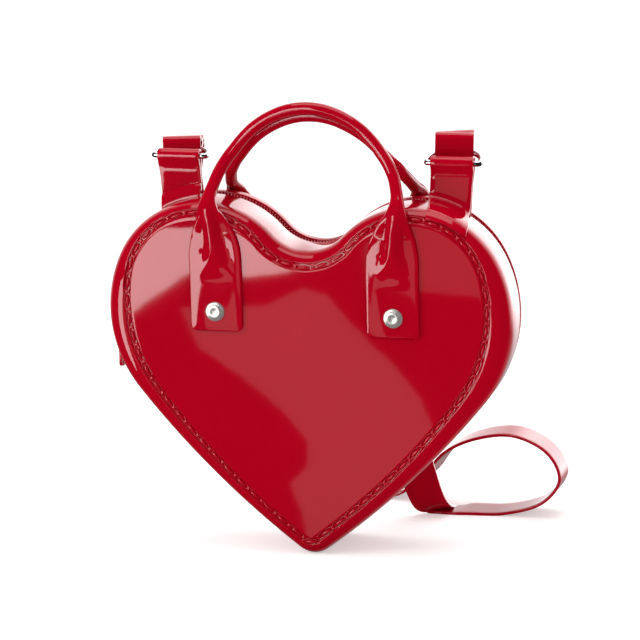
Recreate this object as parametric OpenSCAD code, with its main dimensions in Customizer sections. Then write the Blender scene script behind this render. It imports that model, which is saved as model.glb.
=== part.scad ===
/* [Heart] */
// Width of the heart
heart_w = 190; // [184:1:196]
// Height of the centre of each widest arc
side_z = 112; // [108:1:116]
// Radius of the tip
tip_r = 11; // [9:0.5:13]
// Width of the flat foot at the tip
foot_w = 3; // [1:0.5:6]
// Radius of the long flanks
flank_r = 413; // [380:1:450]
// Radius of the widest arcs
side_r = 60; // [57:0.5:63]
// Radius over the top of each lobe
lobe_r = 44.5; // [42:0.5:47]
// Angle above level where the widest arc meets the lobe arc
lobe_turn = 25; // [20:1:30]
// Radius of the dip between the lobes
dip_r = 22.7; // [20:0.1:26]

/* [Shells] */
// Depth of the bag from front to back
bag_depth = 42; // [38:1:50]
// Depth of the front shell
front_depth = 25; // [23:1:27]
// Wall of both shells
wall = 2.2; // [1.6:0.1:2.6]
// Radius of the rolled edge of the front and back panels
roll_r = 8; // [6:0.5:9]
// Width of the stitch channel
channel_w = 4; // [3:0.5:5]
// Depth of the stitch channel on the flat panel
channel_d = 1; // [0.6:0.1:1.2]
// Height of the line where the back of the bag bends open
bend_z = 104.2; // [103:0.2:106]

/* [Zip] */
// Width of the slot that the zip fills
zip_gap = 6; // [5:0.5:8]
// Radius of one row of the coil
coil_r = 1.1; // [0.8:0.1:1.2]
// Width of each half of the tape
tape_w = 7.5; // [6:0.5:9]
// Thickness of the tape
tape_t = 0.6; // [0.4:0.1:0.8]
// Length of the slider
slider_l = 7.2; // [6:0.2:7.2]
// Length of the pull strip
pull_l = 15; // [12:1:20]
// Width of the pull strip
pull_w = 7; // [5:0.5:9]

/* [Handles] */
// Distance between the two tabs of a handle
handle_span = 83.6; // [80:0.2:88]
// Height of the grip's centre above the foot
handle_top = 206.1; // [200:0.1:215]
// Diameter of the grip
grip_d = 5.6; // [5:0.2:7]
// Width of each tab
tab_w = 24.4; // [20:0.2:26]
// Thickness of each tab
tab_t = 1.8; // [1.4:0.1:2.4]
// Diameter of the rivet caps
cap_d = 9; // [8:0.2:10]
// Diameter of the rivet shanks
shank_d = 3; // [2.4:0.1:3.4]

/* [Shoulder strap] */
// Width of the two strap tabs
loop_w = 20; // [18:0.5:22]
// Thickness of the strap tabs
loop_t = 1.8; // [1.4:0.1:2]
// Width of the strap
strap_w = 17.5; // [16:0.5:19]
// Thickness of the strap
strap_t = 1.5; // [1.2:0.1:1.8]
// Diameter of the ring wire
wire_d = 2.6; // [2.2:0.1:3]
// Width of each ring from outside to outside
ring_w = 27.4; // [26:0.2:30]

/* [Hidden] */
$fn = 180;
shell_red = [0.75, 0.04, 0.10];
deep_red = [0.62, 0.02, 0.08];
steel = [0.80, 0.80, 0.82];
overrun = wall;

// Arcs of an outline: tip, flank, widest arc, lobe and dip, for the right half
function way(a) = [cos(a), sin(a)];
function bearing(p) = atan2(p.y, p.x);
function chain(half_w, tip_y, tip_radius, flank, side, side_h, top, turn, dip) =
  let (
    tip_c = [0, tip_y],
    side_c = [half_w - side, side_h],
    gap = side_c - tip_c,
    gap_l = norm(gap),
    along = gap / gap_l,
    reach = (pow(flank - tip_radius, 2) - pow(flank - side, 2) + gap_l * gap_l) / (2 * gap_l),
    flank_c = tip_c + along * reach + [-along.y, along.x] * sqrt(pow(flank - tip_radius, 2) - reach * reach),
    lobe_c = side_c + (side - top) * way(turn),
    dip_c = [0, lobe_c.y + sqrt(pow(top + dip, 2) - lobe_c.x * lobe_c.x)]
  )
  [
    [tip_c, tip_radius, -90, bearing(tip_c - flank_c)],
    [flank_c, flank, bearing(tip_c - flank_c), bearing(side_c - flank_c)],
    [side_c, side, bearing(side_c - flank_c), turn],
    [lobe_c, top, turn, bearing(dip_c - lobe_c)],
    [dip_c, dip, bearing(lobe_c - dip_c), -90]
  ];
outline = chain(heart_w / 2, sqrt(tip_r * tip_r - foot_w * foot_w / 4), tip_r, flank_r, side_r, side_z,
  lobe_r, lobe_turn, dip_r);
side = outline[2];
lobe = outline[3];
lobe_top = lobe[0].y + lobe_r;

// The stitch line runs closer to the edge over the lobes than down the sides
stitch_side_inset = 10.5;
stitch_top_inset = 4.2;
stitch_tip_inset = 6.5;
stitch_turn = 10.4;
stitch_side_r = 70;
stitch_top_r = 35;
stitch_tip_r = 2.5;
stitch_flank_r = 360;
stitch_dip_r = 28;
stitch_top_c = lobe_top - stitch_top_inset - stitch_top_r;
stitch = chain(heart_w / 2 - stitch_side_inset, stitch_tip_inset + stitch_tip_r, stitch_tip_r, stitch_flank_r,
  stitch_side_r, stitch_top_c - (stitch_side_r - stitch_top_r) * sin(stitch_turn), stitch_top_r, stitch_turn,
  stitch_dip_r);

// Places along the depth, from the front face at the negative end to the back face
forward = 2;
front_y = -bag_depth / 2 - forward;
back_y = bag_depth / 2 - forward;
front_rim_y = front_y + front_depth;
back_rim_y = front_rim_y + zip_gap;
zip_y = (front_rim_y + back_rim_y) / 2;
bend_gap = 0.3;
bend_low = bend_z - bend_gap / 2;
bend_high = bend_z + bend_gap / 2;
slider_play = 0.8;
slot_z = bend_z - slider_l - slider_play;

// Points round an outline, moved inward by an inset, from the tip's middle or from the bend on the right
WHOLE = 0;
ABOVE = 1;
BELOW = -1;
whole_steps = [4, 8, 7, 14, 6];
above_steps = [6, 14, 6];
below_steps = [4, 8, 3];
function steps_of(part) = part == WHOLE ? whole_steps : part == ABOVE ? above_steps : below_steps;
function count_of(part) = let (s = steps_of(part)) [for (k = s) 1] * s;
function arc_point(arc, inset, t) =
  let (hollow = arc[3] < arc[2], a = mix(arc[2], arc[3], t))
  arc[0] + (arc[1] + (hollow ? inset : -inset)) * way(a);
function cut_arcs(arcs, inset, part) =
  let (
    bent = arcs[2],
    height = part == ABOVE ? bend_high : bend_low,
    cut = part == WHOLE ? 0 : asin((height - bent[0].y) / (bent[1] - inset))
  )
  part == WHOLE ? arcs
    : part == ABOVE ? [[bent[0], bent[1], cut, bent[3]], arcs[3], arcs[4]]
    : [arcs[0], arcs[1], [bent[0], bent[1], bent[2], cut]];
function half_point(arcs, inset, steps, m, k = 0) =
  m < steps[k] || k == len(steps) - 1
    ? arc_point(arcs[k], inset, m / steps[k])
    : half_point(arcs, inset, steps, m - steps[k], k + 1);
function ring_point(arcs, inset, part, j) =
  let (
    n = count_of(part),
    m = part == BELOW ? abs(j - n) : n - abs(j - n),
    left = part == BELOW ? j < n : j > n,
    p = half_point(cut_arcs(arcs, inset, part), inset, steps_of(part), m)
  )
  [left ? -p.x : p.x, p.y];
function last_point(part) = 2 * count_of(part) - (part == WHOLE ? 1 : 0);
function ring(arcs, inset, part = WHOLE) =
  [for (j = [0 : last_point(part)]) ring_point(arcs, inset, part, j)];
// How far a point lies inside the outline
function inset_of(q) =
  let (
    p = [abs(q.x), q.y],
    near = [for (arc = outline)
      let (a = bearing(p - arc[0]))
      if (a >= min(arc[2], arc[3]) && a <= max(arc[2], arc[3]))
        abs(norm(p - arc[0]) - arc[1])]
  )
  len(near) > 0 ? min(near) : roll_r;
function drop(inset) = inset >= roll_r ? 0 : roll_r - sqrt(roll_r * roll_r - pow(roll_r - inset, 2));
module heart_band(from, to, share, part = WHOLE) difference() {
  polygon([for (p = ring(outline, from, part)) [p.x * share, p.y]]);
  polygon([for (p = ring(outline, to, part)) [p.x * share, p.y]]);
}

// Shells: trays with the panel at the high end of the local third axis, narrower towards the back
rim_share = 0.99;
rear_share = 0.975;
roll_steps = 4;
edge_gap = 0.3;
function at_height(flat, z) = [for (p = flat) [p.x, p.y, z]];
function narrow(points, share) = [for (p = points) [p.x * share, p.y, p.z]];
function roll_ring(k, depth, part) =
  let (edge = ring(stitch, -channel_w / 2, part))
  [for (j = [0 : last_point(part)])
    let (
      last = min(roll_r, max(0, inset_of(edge[j]) - edge_gap)),
      a = acos((roll_r - last) / roll_r) * k / roll_steps,
      p = ring_point(outline, roll_r - roll_r * cos(a), part, j)
    )
    [p.x, p.y, depth - roll_r + roll_r * sin(a)]];
function channel_ring(side_inset, extra, depth, part) =
  [for (p = ring(stitch, side_inset, part)) [p.x, p.y, depth - drop(inset_of(p)) - extra]];
function panel_ring(depth, part) =
  let (inner = ring(stitch, channel_w / 2, part))
  [for (j = [0 : last_point(part)])
    let (p = ring_point(outline, max(roll_r, inset_of(inner[j]) + edge_gap), part, j))
    [p.x, p.y, depth]];
function hollow_ring(k, depth, part) =
  let (a = 90 * k / roll_steps, r = roll_r - wall)
  at_height(ring(outline, roll_r - r * cos(a), part), depth - roll_r + r * sin(a));
// Faces that close a tray at the bend: both cut walls and channels, then the panel between them
function bend_faces(n) =
  let (
    rim = roll_steps + 2,
    edge = rim + roll_steps + 1,
    sides = concat(
      [for (i = [0 : roll_steps]) [roll_steps - i, roll_steps - i + 1, rim + i, rim + i + 1]],
      [[0, edge, edge + 1], [0, edge + 1, edge + 2], [0, edge + 2, edge + 3], [edge + 3, edge + 4, edge + 5]]
    ),
    across = [[0, edge + 3], [edge + 3, edge + 5]]
  )
  concat(
    [for (f = sides) [for (i = f) i * n + n - 1]],
    [for (f = sides) [for (i = [len(f) - 1 : -1 : 0]) f[i] * n]],
    [for (f = across) [f[0] * n + n - 1, f[1] * n + n - 1, f[1] * n, f[0] * n]]
  );
// Joins rings of equal count
module skin(rings, part) {
  n = len(rings[0]);
  last = len(rings) - 1;
  faces = concat(
    [[for (j = [0 : n - 1]) j]],
    [[for (j = [n - 1 : -1 : 0]) last * n + j]],
    part == WHOLE ? [] : bend_faces(n),
    [for (i = [0 : last - 1], j = [0 : part == WHOLE ? n - 1 : n - 2])
      let (m = (j + 1) % n)
      each [
        [i * n + j, (i + 1) * n + j, (i + 1) * n + m],
        [i * n + j, (i + 1) * n + m, i * n + m]
      ]]
  );
  polyhedron([for (r = rings) each r], faces);
}
module tray(depth, part, edge_share, panel_share)
  skin(concat(
    [for (k = [roll_steps : -1 : 0]) narrow(hollow_ring(k, depth, part), panel_share)],
    [for (inset = [wall, 0]) narrow(at_height(ring(outline, inset, part), 0), edge_share)],
    [for (k = [0 : roll_steps]) narrow(roll_ring(k, depth, part), panel_share)],
    [for (deep = [0, channel_d]) narrow(channel_ring(-channel_w / 2, deep, depth, part), panel_share)],
    [for (deep = [channel_d, 0]) narrow(channel_ring(channel_w / 2, deep, depth, part), panel_share)],
    [narrow(panel_ring(depth, part), panel_share)]
  ), part);
module both_sides() {
  children();
  mirror([1, 0, 0]) children();
}
module upright_front() rotate([90, 0, 0]) children();
module upright_back() rotate([90, 0, 180]) children();
module below_foot(depth)
  translate([-heart_w, -heart_w, -overrun]) cube([2 * heart_w, heart_w, depth + 2 * overrun]);
module rivet_holes(depth)
  both_sides() translate([rivet_x, rivet_z, depth - wall - overrun])
    cylinder(d = shank_d + 2 * shank_clear, h = wall + 2 * overrun);

module front_shell()
  color(shell_red) upright_front() translate([0, 0, -front_y - front_depth]) difference() {
    tray(front_depth, WHOLE, rim_share, 1);
    rivet_holes(front_depth);
    below_foot(front_depth);
  }
lower_depth = back_y - front_rim_y;
flap_depth = back_y - back_rim_y;
module rear_shell()
  color(shell_red) upright_back() translate([0, 0, back_y - lower_depth]) difference() {
    tray(lower_depth, BELOW, rim_share, rear_share);
    below_foot(lower_depth);
    translate([-heart_w, slot_z, -overrun]) cube([2 * heart_w, heart_w, zip_gap + overrun]);
  }
module rear_shell_flap()
  color(shell_red) upright_back() translate([0, 0, back_y - flap_depth]) difference() {
    tray(flap_depth, ABOVE, rear_share, rear_share);
    rivet_holes(flap_depth);
  }

// Zip: tapes inside the walls, coil rows in the slot
tape_clear = 0.2;
tape_seat = 0.15;
tape_inset = wall + tape_seat;
tape_rise = 0.6;
tape_low = bend_high + tape_rise;
tape_lap = zip_gap / 2 - tape_clear;
coil_gap = 0.15;
module zip_run(low_y, width, from, to, share, part, low)
  upright_front() translate([0, 0, -low_y - width]) linear_extrude(width) intersection() {
    heart_band(from, to, share, part);
    translate([-heart_w, low]) square(2 * heart_w);
  }
module zip_tape_front()
  color(deep_red) zip_run(front_rim_y + tape_lap - tape_w, tape_w,
    tape_inset, tape_inset + tape_t, rim_share, WHOLE, tape_low);
rear_tape_w = min(tape_w, flap_depth - roll_r + tape_lap - tape_clear);
module zip_tape_rear()
  color(deep_red) zip_run(back_rim_y - tape_lap, rear_tape_w,
    tape_inset, tape_inset + tape_t, rear_share, ABOVE, tape_low);
module zip_coil_front()
  color(deep_red)
    zip_run(zip_y - coil_gap - 2 * coil_r, 2 * coil_r, 0, tape_inset, rim_share, WHOLE, bend_high);
module zip_coil_rear()
  color(deep_red) zip_run(zip_y + coil_gap, 2 * coil_r, 0, tape_inset, rear_share, ABOVE, bend_low);

// Stops at both ends of the zip, the slider parked at the left end
slot_clear = 0.2;
slot_from = asin((slot_z + slot_clear - side_z) / side_r);
slot_to = asin((bend_low - slot_clear - side_z) / side_r);
stop_w = zip_gap - 2 * slot_clear;
module zip_stops()
  color(deep_red) upright_front() translate([0, 0, -zip_y - stop_w / 2]) linear_extrude(stop_w)
    intersection() {
      heart_band(0, wall, (rim_share + rear_share) / 2);
      translate([0, slot_z + slot_clear]) square([heart_w, bend_low - slot_z - 2 * slot_clear]);
    }

slider_plate = 1;
slider_w = zip_gap + 2;
slider_a = (slot_from + slot_to) / 2;
slider_neck_w = 2.4;
slider_lift = 0.3;
slider_r = side_r - heart_w / 2 * (1 - rim_share) + slider_lift;
slider_space = wall + heart_w / 2 * (rim_share - rear_share) + 2 * slider_lift;
bail_h = 6;
bail_w = 1.6;
bail_d = 4;
link_d = 1.2;
link_clear = 0.1;
link_w = 5;
link_l = 7;
bail_r = slider_r + slider_plate + bail_h / 2;
bail_at = [-side[0].x - bail_r * cos(slider_a), 0, side[0].y + bail_r * sin(slider_a)];
module on_left_side(radius)
  translate([-side[0].x, zip_y, side[0].y]) rotate([0, slider_a, 0]) translate([-radius, 0, 0]) children();
module rounded_plate(length, width, thickness, corner)
  rotate([0, -90, 0]) linear_extrude(thickness) union() {
    square([length - 2 * corner, width], center = true);
    square([length, width - 2 * corner], center = true);
    for (x = [-1, 1], y = [-1, 1])
      translate([x * (length / 2 - corner), y * (width / 2 - corner)]) circle(corner);
  }
module zip_slider()
  color(steel) on_left_side(slider_r) difference() {
    union() {
      rounded_plate(slider_l, slider_w, slider_plate, slider_plate);
      translate([slider_space + slider_plate, 0, 0])
        rounded_plate(slider_l, slider_w, slider_plate, slider_plate);
      translate([slider_space / 2, 0, 0])
        cube([slider_space + slider_plate, slider_neck_w, slider_l / 2], center = true);
      translate([-slider_plate - bail_h / 2, 0, 0]) rotate([90, 0, 0])
        cylinder(d = bail_d, h = bail_w, center = true);
      translate([-slider_plate - bail_h / 2, -bail_w / 2, -bail_d / 2])
        cube([bail_h / 2 + slider_plate / 2, bail_w, bail_d]);
    }
    translate([-slider_plate - bail_h / 2, 0, 0]) rotate([90, 0, 0])
      cylinder(d = link_d + 2 * link_clear, h = 2 * bail_w, center = true);
  }

// The link hangs straight down from the bail and carries the pull strip
module rod(from, to, d) {
  run = to - from;
  translate(from) rotate([0, acos(run.z / norm(run)), bearing(run)]) cylinder(d = d, h = norm(run));
}
module at_bail() translate([bail_at.x, zip_y, bail_at.z]) children();
module link_loop() {
  corners = [
    [0, -link_w / 2, 0], [0, link_w / 2, 0], [0, link_w / 2, -link_l], [0, -link_w / 2, -link_l]
  ];
  for (i = [0 : 3]) {
    rod(corners[i], corners[(i + 1) % 4], link_d);
    translate(corners[i]) sphere(d = link_d, $fn = 48);
  }
}
module zip_pull_link() color(steel) at_bail() link_loop();
pull_t = 1.5;
pull_corner = pull_w / 4;
pull_lap = 1.2;
pull_top = -link_l + link_d / 2 + pull_lap;
module zip_pull()
  color(shell_red) at_bail() difference() {
    union() {
      translate([pull_t / 2, 0, pull_top - pull_l / 2]) rounded_plate(pull_l, pull_w, pull_t, pull_corner);
      translate([0, 0, -link_l]) rotate([90, 0, 0])
        cylinder(d = link_d + 2 * link_clear + 2 * pull_t, h = link_w - 2 * link_d, center = true);
    }
    translate([0, 0, -link_l]) rotate([90, 0, 0])
      cylinder(d = link_d + 2 * link_clear, h = 2 * pull_w, center = true);
    both_ends() translate([-link_d, link_w / 2 - link_d / 2 - link_clear, -link_l - link_d / 2 - link_clear])
      cube([2 * link_d, pull_w, link_l + link_d]);
  }
module both_ends() {
  children();
  mirror([0, 1, 0]) children();
}

// Handles: a round grip that widens and flattens into a tab on each side
rivet_z = 113.9;
rivet_x = handle_span / 2;
shank_clear = 0.1;
tab_clear = 0.2;
tab_low = bend_high + tab_clear;
spread_z = 162;
round_low = 150;
round_top = 168;
ridge_low = 128;
ridge_top = 150;
ridge_low_w = 10;
ridge_top_share = 1.2;
ridge_power = 1.5;
tab_corner = 3;
grip_r = grip_d / 2;
function ease(t) = let (c = min(1, max(0, t))) c * c * (3 - 2 * c);
function mix(a, b, t) = a + (b - a) * t;
function spline(p, i, t) =
  let (a = p[max(0, i - 1)], b = p[i], c = p[i + 1], d = p[min(len(p) - 1, i + 2)])
  0.5 * (2 * b + (c - a) * t + (2 * a - 5 * b + 4 * c - d) * t * t + (3 * b - a - 3 * c + d) * t * t * t);
way_steps = 2;
function smooth(p) = concat(
  [for (i = [0 : len(p) - 2], s = [0 : way_steps - 1]) spline(p, i, s / way_steps)],
  [p[len(p) - 1]]
);
// From a tab to the top: across, up to the spread and on to the top, how much of a tab it is, how far it leans
half_way_shares = [
  [0.99, 0, 1, 0], [0.99, 0.01, 1, 0], [0.99, 0.03, 1, 0], [0.99, 0.055, 1, 0], [0.99, 0.27, 1, 0],
  [0.99, 0.48, 1, 0], [0.995, 0.62, 0.99, 0], [1, 0.7, 0.92, 0], [1.01, 0.775, 0.8, 0], [1.02, 0.85, 0.62, 0],
  [1.035, 0.915, 0.43, 0], [1.05, 0.975, 0.245, 0.02], [1.053, 1.065, 0.1, 0.16], [1.04, 1.15, 0.02, 0.36],
  [1.015, 1.235, 0, 0.51], [0.975, 1.34, 0, 0.68], [0.9, 1.465, 0, 0.81], [0.82, 1.565, 0, 0.89],
  [0.73, 1.67, 0, 0.95], [0.6, 1.79, 0, 0.98], [0.42, 1.9, 0, 1], [0.215, 1.975, 0, 1], [0, 2, 0, 1]
];
side_points = 11;
function way_stop(q, side) = [
  side * q[0] * rivet_x,
  q[1] < 1 ? mix(tab_low, spread_z, q[1]) : mix(spread_z, handle_top, q[1] - 1),
  q[2],
  q[3]
];
function corner_w(z) =
  let (up = min(tab_corner, max(0, z - tab_low)), in = tab_corner - up)
  2 * (tab_corner - sqrt(max(0, tab_corner * tab_corner - in * in)));
function roundness(z) = ease((z - round_low) / (round_top - round_low));
function edge_t(z) = mix(tab_t, grip_d, roundness(z)) / 2;
// One ring: a flat back and a front that rises to a rounded ridge
function section(q) =
  let (
    z = q[1],
    round = roundness(z),
    edge = edge_t(z),
    half_w = (mix(grip_d, tab_w, q[2]) - corner_w(z)) / 2,
    rise = ease((z - ridge_low) / (ridge_top - ridge_low)),
    ridge_w = mix(ridge_low_w, ridge_top_share * grip_r, rise)
  )
  [for (i = [0 : 2 * side_points - 1])
    let (
      a = 180 * i / side_points,
      u = half_w * cos(a),
      flat_v = edge * (sin(a) >= 0 ? pow(sin(a), 0.5) : -pow(-sin(a), 0.5)),
      crest = pow(max(0, 1 - pow(u / ridge_w, 2)), ridge_power),
      lump = sin(a) > 0 ? (grip_d - tab_t) * rise * (1 - round) * crest : 0
    )
    [u, mix(flat_v, edge * sin(a), round) + lump]
  ];
module handle(face, apex, sag, sense) {
  half = len(half_way_shares) - 1;
  way = smooth(concat(
    [for (q = half_way_shares) way_stop(q, 1)],
    [for (i = [half - 1 : -1 : 0]) way_stop(half_way_shares[i], -1)]
  ));
  count = len(way);
  ring_n = 2 * side_points;
  lean = apex - face - sense * grip_r;
  middle = [for (q = way) [q[0], face + sense * edge_t(q[1]) + lean * q[3], q[1] - sag * q[3]]];
  points = [for (i = [0 : count - 1])
    let (
      gap = middle[min(count - 1, i + 1)] - middle[max(0, i - 1)],
      run = gap / norm(gap),
      out = [run.z, 0, -run.x] / norm([run.z, run.x]),
      deep = sense * cross(run, out)
    )
    each [for (q = section(way[i])) middle[i] + q.x * out + q.y * deep]
  ];
  faces = concat(
    [[for (k = [0 : ring_n - 1]) k]],
    [[for (k = [ring_n - 1 : -1 : 0]) (count - 1) * ring_n + k]],
    [for (i = [0 : count - 2], k = [0 : ring_n - 1])
      let (m = (k + 1) % ring_n)
      each [
        [i * ring_n + k, (i + 1) * ring_n + k, (i + 1) * ring_n + m],
        [i * ring_n + k, (i + 1) * ring_n + m, i * ring_n + m]
      ]]
  );
  difference() {
    polyhedron(points, sense < 0 ? [for (f = faces) [for (k = [len(f) - 1 : -1 : 0]) f[k]]] : faces);
    both_sides() translate([rivet_x, face - overrun, rivet_z]) rotate([-90, 0, 0])
      translate([0, 0, sense < 0 ? -tab_t - overrun : 0])
        cylinder(d = shank_d + 2 * shank_clear, h = tab_t + 3 * overrun);
  }
}
front_apex = -10.5;
back_apex = -5;
back_sag = 4.4;
module front_handle() color(shell_red) handle(front_y, front_apex, 0, -1);
module rear_handle() color(shell_red) handle(back_y, back_apex, back_sag, 1);

// Rivets: a bevelled cap outside, a shank through tab and wall, a washer inside
cap_h = 1.6;
cap_disc_share = 0.7;
cap_bevel = 0.5;
washer_d = 8;
washer_t = 1;
module rivet_cap() rotate_extrude() polygon([
  [0, 0], [cap_d / 2, 0], [cap_d / 2, cap_h - 2 * cap_bevel], [cap_d / 2 - cap_bevel, cap_h - cap_bevel],
  [cap_d * cap_disc_share / 2 + cap_bevel / 2, cap_h - cap_bevel],
  [cap_d * cap_disc_share / 2, cap_h], [0, cap_h]
]);
module rivet_shank() cylinder(d = shank_d, h = tab_t + wall);
module rivet_washer() difference() {
  cylinder(d = washer_d, h = washer_t);
  translate([0, 0, -overrun]) cylinder(d = shank_d / 2, h = washer_t + 2 * overrun);
}
module at_front_rivets(out)
  both_sides() translate([rivet_x, front_y - out, rivet_z]) rotate([90, 0, 0]) children();
module at_back_rivets(out)
  both_sides() translate([rivet_x, back_y + out, rivet_z]) rotate([-90, 0, 0]) children();
module front_rivet_caps() color(steel) at_front_rivets(tab_t) rivet_cap();
module front_rivet_shanks() color(steel) at_front_rivets(-wall) rivet_shank();
module front_rivet_washers() color(steel) at_front_rivets(-wall - washer_t) rivet_washer();
module rear_rivet_caps() color(steel) at_back_rivets(tab_t) rivet_cap();
module rear_rivet_shanks() color(steel) at_back_rivets(-wall) rivet_shank();
module rear_rivet_washers() color(steel) at_back_rivets(-wall - washer_t) rivet_washer();

// Strap tabs: a strip folded over the ring's bar, with a foot welded along the lobe
fold_x = 64.4;
fold_z = 180.7;
fold_clear = 0.1;
foot_l = 15;
fold_r = wire_d / 2 + fold_clear;
neck_l = 3;
module tab_profile() {
  difference() {
    union() {
      circle(fold_r + loop_t);
      polygon([
        [-fold_r - loop_t, 0], [-loop_t, -neck_l - fold_r], [-loop_t, -lobe_r],
        [loop_t, -lobe_r], [loop_t, -neck_l - fold_r], [fold_r + loop_t, 0]
      ]);
    }
    circle(fold_r);
  }
}
module strap_tab()
  color(shell_red) difference() {
    union() {
      translate([fold_x - loop_w / 2, 0, fold_z]) rotate([90, 0, 90]) linear_extrude(loop_w) tab_profile();
      intersection() {
        translate([lobe[0].x, -foot_l, lobe[0].y]) rotate([-90, 0, 0])
          cylinder(r = lobe_r + loop_t, h = foot_l + loop_t);
        translate([fold_x - loop_w / 2, -foot_l, lobe[0].y]) cube([loop_w, foot_l + loop_t, lobe_r + loop_t]);
      }
    }
    translate([lobe[0].x, -foot_l - overrun, lobe[0].y]) rotate([-90, 0, 0])
      cylinder(r = lobe_r, h = foot_l + loop_t + 2 * overrun);
    translate([0, -foot_l - overrun, 0]) cube([heart_w, foot_l + 2 * loop_t + 2 * overrun, lobe[0].y]);
  }
module strap_tab_right() strap_tab();
module strap_tab_left() mirror([1, 0, 0]) strap_tab();

// Rings: a bar in the fold, two short sides and a half circle
ring_arc_r = (ring_w - wire_d) / 2;
ring_side_l = 2;
left_lean = 2;
right_lean = 12;
left_drift = 14;
right_drift = 12;
module ring_frame(place_x, lean)
  translate([place_x, 0, fold_z]) rotate([lean, 0, 0]) children();
module ring_shape() {
  rotate([0, 90, 0]) cylinder(d = wire_d, h = 2 * ring_arc_r, center = true);
  for (x = [-1, 1]) translate([x * ring_arc_r, 0, 0]) {
    sphere(d = wire_d, $fn = 60);
    rotate([-90, 0, 0]) cylinder(d = wire_d, h = ring_side_l);
  }
  translate([0, ring_side_l, 0]) rotate_extrude(angle = 180)
    translate([ring_arc_r, 0]) circle(d = wire_d, $fn = 60);
}
module ring_left() color(steel) ring_frame(-fold_x, left_lean) ring_shape();
module ring_right() color(steel) ring_frame(fold_x, right_lean) ring_shape();

// Strap ends: the strip folded round the ring's arc and welded back on itself
end_clear = 0.2;
end_r = wire_d / 2 + end_clear;
end_back = 4.2;
end_slot = 2.6;
end_close = 7;
end_l = 15;
module end_profile() difference() {
  union() {
    translate([ring_arc_r - end_back, 0]) circle(end_r + strap_t);
    polygon([
      [ring_arc_r - end_back, -end_r - strap_t],
      [ring_arc_r + end_slot, -end_r - strap_t],
      [ring_arc_r + end_slot + end_close, -strap_t],
      [ring_arc_r + end_l, -strap_t],
      [ring_arc_r + end_l, strap_t],
      [ring_arc_r + end_slot + end_close, strap_t],
      [ring_arc_r + end_slot, end_r + strap_t],
      [ring_arc_r - end_back, end_r + strap_t]
    ]);
  }
  translate([ring_arc_r - end_back, 0]) circle(end_r);
  translate([ring_arc_r - end_back, -end_r]) square([end_back + end_slot, 2 * end_r]);
  polygon([
    [ring_arc_r + end_slot - end_clear, -end_r],
    [ring_arc_r + end_slot + end_close, 0],
    [ring_arc_r + end_slot - end_clear, end_r]
  ]);
}
module strap_end(place_x, lean, drift)
  color(shell_red) ring_frame(place_x, lean) translate([0, ring_side_l, 0]) rotate([0, 0, drift])
    translate([-strap_w / 2, 0, 0]) rotate([90, 0, 90]) linear_extrude(strap_w) end_profile();
module strap_end_left() strap_end(-fold_x, left_lean, left_drift);
module strap_end_right() strap_end(fold_x, right_lean, right_drift);

// Strap: points chosen by hand from the right ring to the left, each with the side that its width lies along
strap_gap = 0.3;
strap_start_l = 6;
function end_stop(place_x, lean, drift, further) =
  let (reach = ring_arc_r + end_l + further, y = ring_side_l + reach * cos(drift)) [
    [
      place_x - reach * sin(drift),
      y * cos(lean) - strap_t / 2 * sin(lean),
      fold_z + y * sin(lean) + strap_t / 2 * cos(lean)
    ],
    [cos(drift), sin(drift) * cos(lean), sin(drift) * sin(lean)]
  ];
strap_route = [
  [[54.5, 43, 184], [1, 0.2, 0]],
  [[52, 52, 173], [1, 0.1, 0]],
  [[51, 55, 155], [1, 0, 0]],
  [[49, 56, 125], [1, 0, 0]],
  [[44, 54, 95], [1, 0, 0]],
  [[33, 48, 66], [1, 0, 0.1]],
  [[30, 45, 42], [1, 0, 0.1]],
  [[33.5, 46.5, 22], [1, 0.05, 0.1]],
  [[37.5, 51, 7], [1, 0.15, 0]],
  [[41, 61, 0.8], [1.1, 1.1, 0]],
  [[54, 64, 0.8], [0, 1, 0]],
  [[72, 66, 1.2], [0, 1, 0]],
  [[90, 66, 7], [0, 1, 0]],
  [[99, 66, 19], [0, 1, 0]],
  [[93, 66, 32], [0, 1, 0]],
  [[77, 67, 39], [0, 1, 0]],
  [[59, 69, 36.5], [0, 1, 0]],
  [[43, 73, 28], [0.1, 1, 0]],
  [[30, 79, 13], [0.2, 1, 0]],
  [[14, 84, 2], [0.1, 1, 0]],
  [[-12, 85, 0.8], [0, 1, 0]],
  [[-42, 85, 0.8], [0, 1, 0]],
  [[-50, 85, 4.8], [0, 1, 0]],
  [[-42, 85, 8.8], [0, 1, 0]],
  [[4, 85, 8.8], [0, 1, 0]],
  [[12, 85, 12.8], [0, 1, 0]],
  [[4, 85, 16.8], [0, 1, 0]],
  [[-52, 85, 16.8], [0, 1, 0]],
  [[-60, 85, 20.8], [0, 1, 0]],
  [[-52, 85, 24.8], [0, 1, 0]],
  [[6, 85, 24.8], [0, 1, 0]],
  [[14, 85, 28.8], [0, 1, 0]],
  [[6, 85, 32.8], [0, 1, 0]],
  [[-34, 84, 33.5], [0.1, 1, 0]],
  [[-56, 78, 44], [0.6, 0.8, 0]],
  [[-66, 68, 75], [0.9, 0.4, 0]],
  [[-72, 58, 108], [1, 0.1, 0]],
  [[-77, 53, 140], [1, 0, 0]],
  [[-77, 49, 163], [1, 0.1, 0]],
  [[-74.5, 41, 177], [1, 0.2, 0]]
];
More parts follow.
